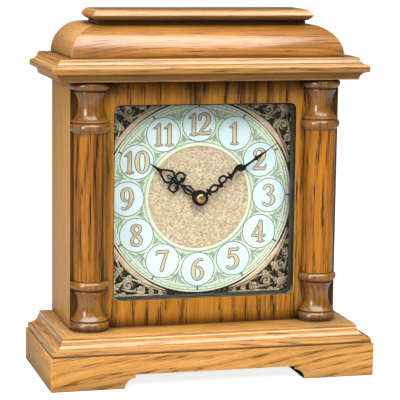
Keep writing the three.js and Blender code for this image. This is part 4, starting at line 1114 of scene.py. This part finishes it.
# ---- back frame, door and hinges ----
# A frame of solid oak closes the back; a hardboard door turns in it on two small brass
# butt hinges with countersunk screws, and has a turned knob.
hardboard, n, shader = new_material("brown_hardboard")
fibres = n.noise(n.place(), (260, 260, 900), 4.0, 1.2)
fibre_colour = n.blend(n.step(fibres, 0.35, 0.7), linear("5b3d25"), linear("8b6640"))
mottle = n.step(n.cloud(35), 0.35, 0.75, 0.0, 0.35)
n.fill(shader, Base_Color=n.blend(mottle, fibre_colour, linear("a37c52")),
       Roughness=n.step(fibres, 0.3, 0.7, 0.55, 0.8), Normal=n.bump(fibres, 0.4, 0.0002))
oak_back = oak("oak_back", "b98b55", "a87a46", "7a5228", flames=0.3, pores=0.4, gloss=0.1,
               shift=(0, 0.1, 0.05))
DOOR_CLEAR = 0.6 * MM
door_opening = opening_round(*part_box("back_door"), DOOR_CLEAR)
bm = framed_panel(*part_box("back_frame"), door_opening, 0.5 * MM)
ease(bm, 0.35 * MM)
make("back_framing", bm, oak_back, stands_for=["back_frame"])
board("back_door", "back_door_board", hardboard, 0.9 * MM, 3, body="back_door")

knob_low, knob_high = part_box("door_knob")
knob_radius = (knob_high.x - knob_low.x) / 2
knob_x, knob_z = (knob_low.x + knob_high.x) / 2, (knob_low.z + knob_high.z) / 2
knob_deep = knob_high.y - knob_low.y
template = [(0, 0), (0.78 * knob_radius, 0), (0.8 * knob_radius, 0.8 * MM)] + smooth_line(
    [(0.46 * knob_radius, 2.2 * MM), (0.42 * knob_radius, knob_deep * 0.42),
     (0.75 * knob_radius, knob_deep * 0.56), (knob_radius, knob_deep * 0.72),
     (0.86 * knob_radius, knob_deep * 0.9), (0.45 * knob_radius, knob_deep * 0.99)], 4) + [(0, knob_deep)]
bm = bmesh.new()
spin_round(bm, [(r, knob_low.y + h) for r, h in template], knob_x, knob_z, 36, closed=False)
make("turned_door_knob", bm, brass, body="back_door", stands_for=["door_knob"], smooth=40)

for part, body in (("frame", "case"), ("door", "back_door")):
    for level in ("lower", "upper"):
        finish_cad(brass, f"hinge_leaf_{part}_{level}")
        low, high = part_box(f"hinge_leaf_{part}_{level}")
        flap_x = high.x - 2.6 * MM if part == "frame" else low.x + 2.6 * MM
        bm = bmesh.new()
        for z in (low.z + 3.2 * MM, high.z - 3.2 * MM):
            head = bmesh.ops.create_cone(bm, cap_ends=True, segments=20, radius1=1.5 * MM, radius2=1.2 * MM,
                                         depth=0.4 * MM)["verts"]
            bmesh.ops.rotate(bm, matrix=Matrix.Rotation(math.radians(-90), 3, "X"), verts=head)
            bmesh.ops.translate(bm, vec=(flap_x, low.y + 0.95 * MM, z), verts=head)
            for turn in (20, 110):
                bar = bmesh.ops.create_cube(bm, size=1)["verts"]
                bmesh.ops.scale(bm, vec=(1.7 * MM, 0.1 * MM, 0.3 * MM), verts=bar)
                bmesh.ops.rotate(bm, matrix=Matrix.Rotation(math.radians(turn), 3, "Y"), verts=bar)
                bmesh.ops.translate(bm, vec=(flap_x, low.y + 1.16 * MM, z), verts=bar)
        make(f"hinge_screws_{part}_{level}", bm, rolled_steel, body=body)

# ---- floor ----
# A wide pale sheet that looks nearly white to the camera but throws little light back.
floor_mesh = bpy.data.meshes.new("floor")
bm = bmesh.new()
bmesh.ops.create_grid(bm, x_segments=1, y_segments=1, size=6)
bm.to_mesh(floor_mesh)
bm.free()
floor = bpy.data.objects.new("floor", floor_mesh)
bpy.context.scene.collection.objects.link(floor)
floor_paint, n, shader = new_material("floor_paint")
is_seen = n.add("ShaderNodeLightPath").outputs["Is Camera Ray"]
n.fill(shader, Base_Color=(0.42, 0.42, 0.42, 1), Roughness=0.9, Emission_Color=(1, 1, 1, 1),
       Emission_Strength=n.math("MULTIPLY", is_seen, 0.85))
floor_mesh.materials.append(floor_paint)
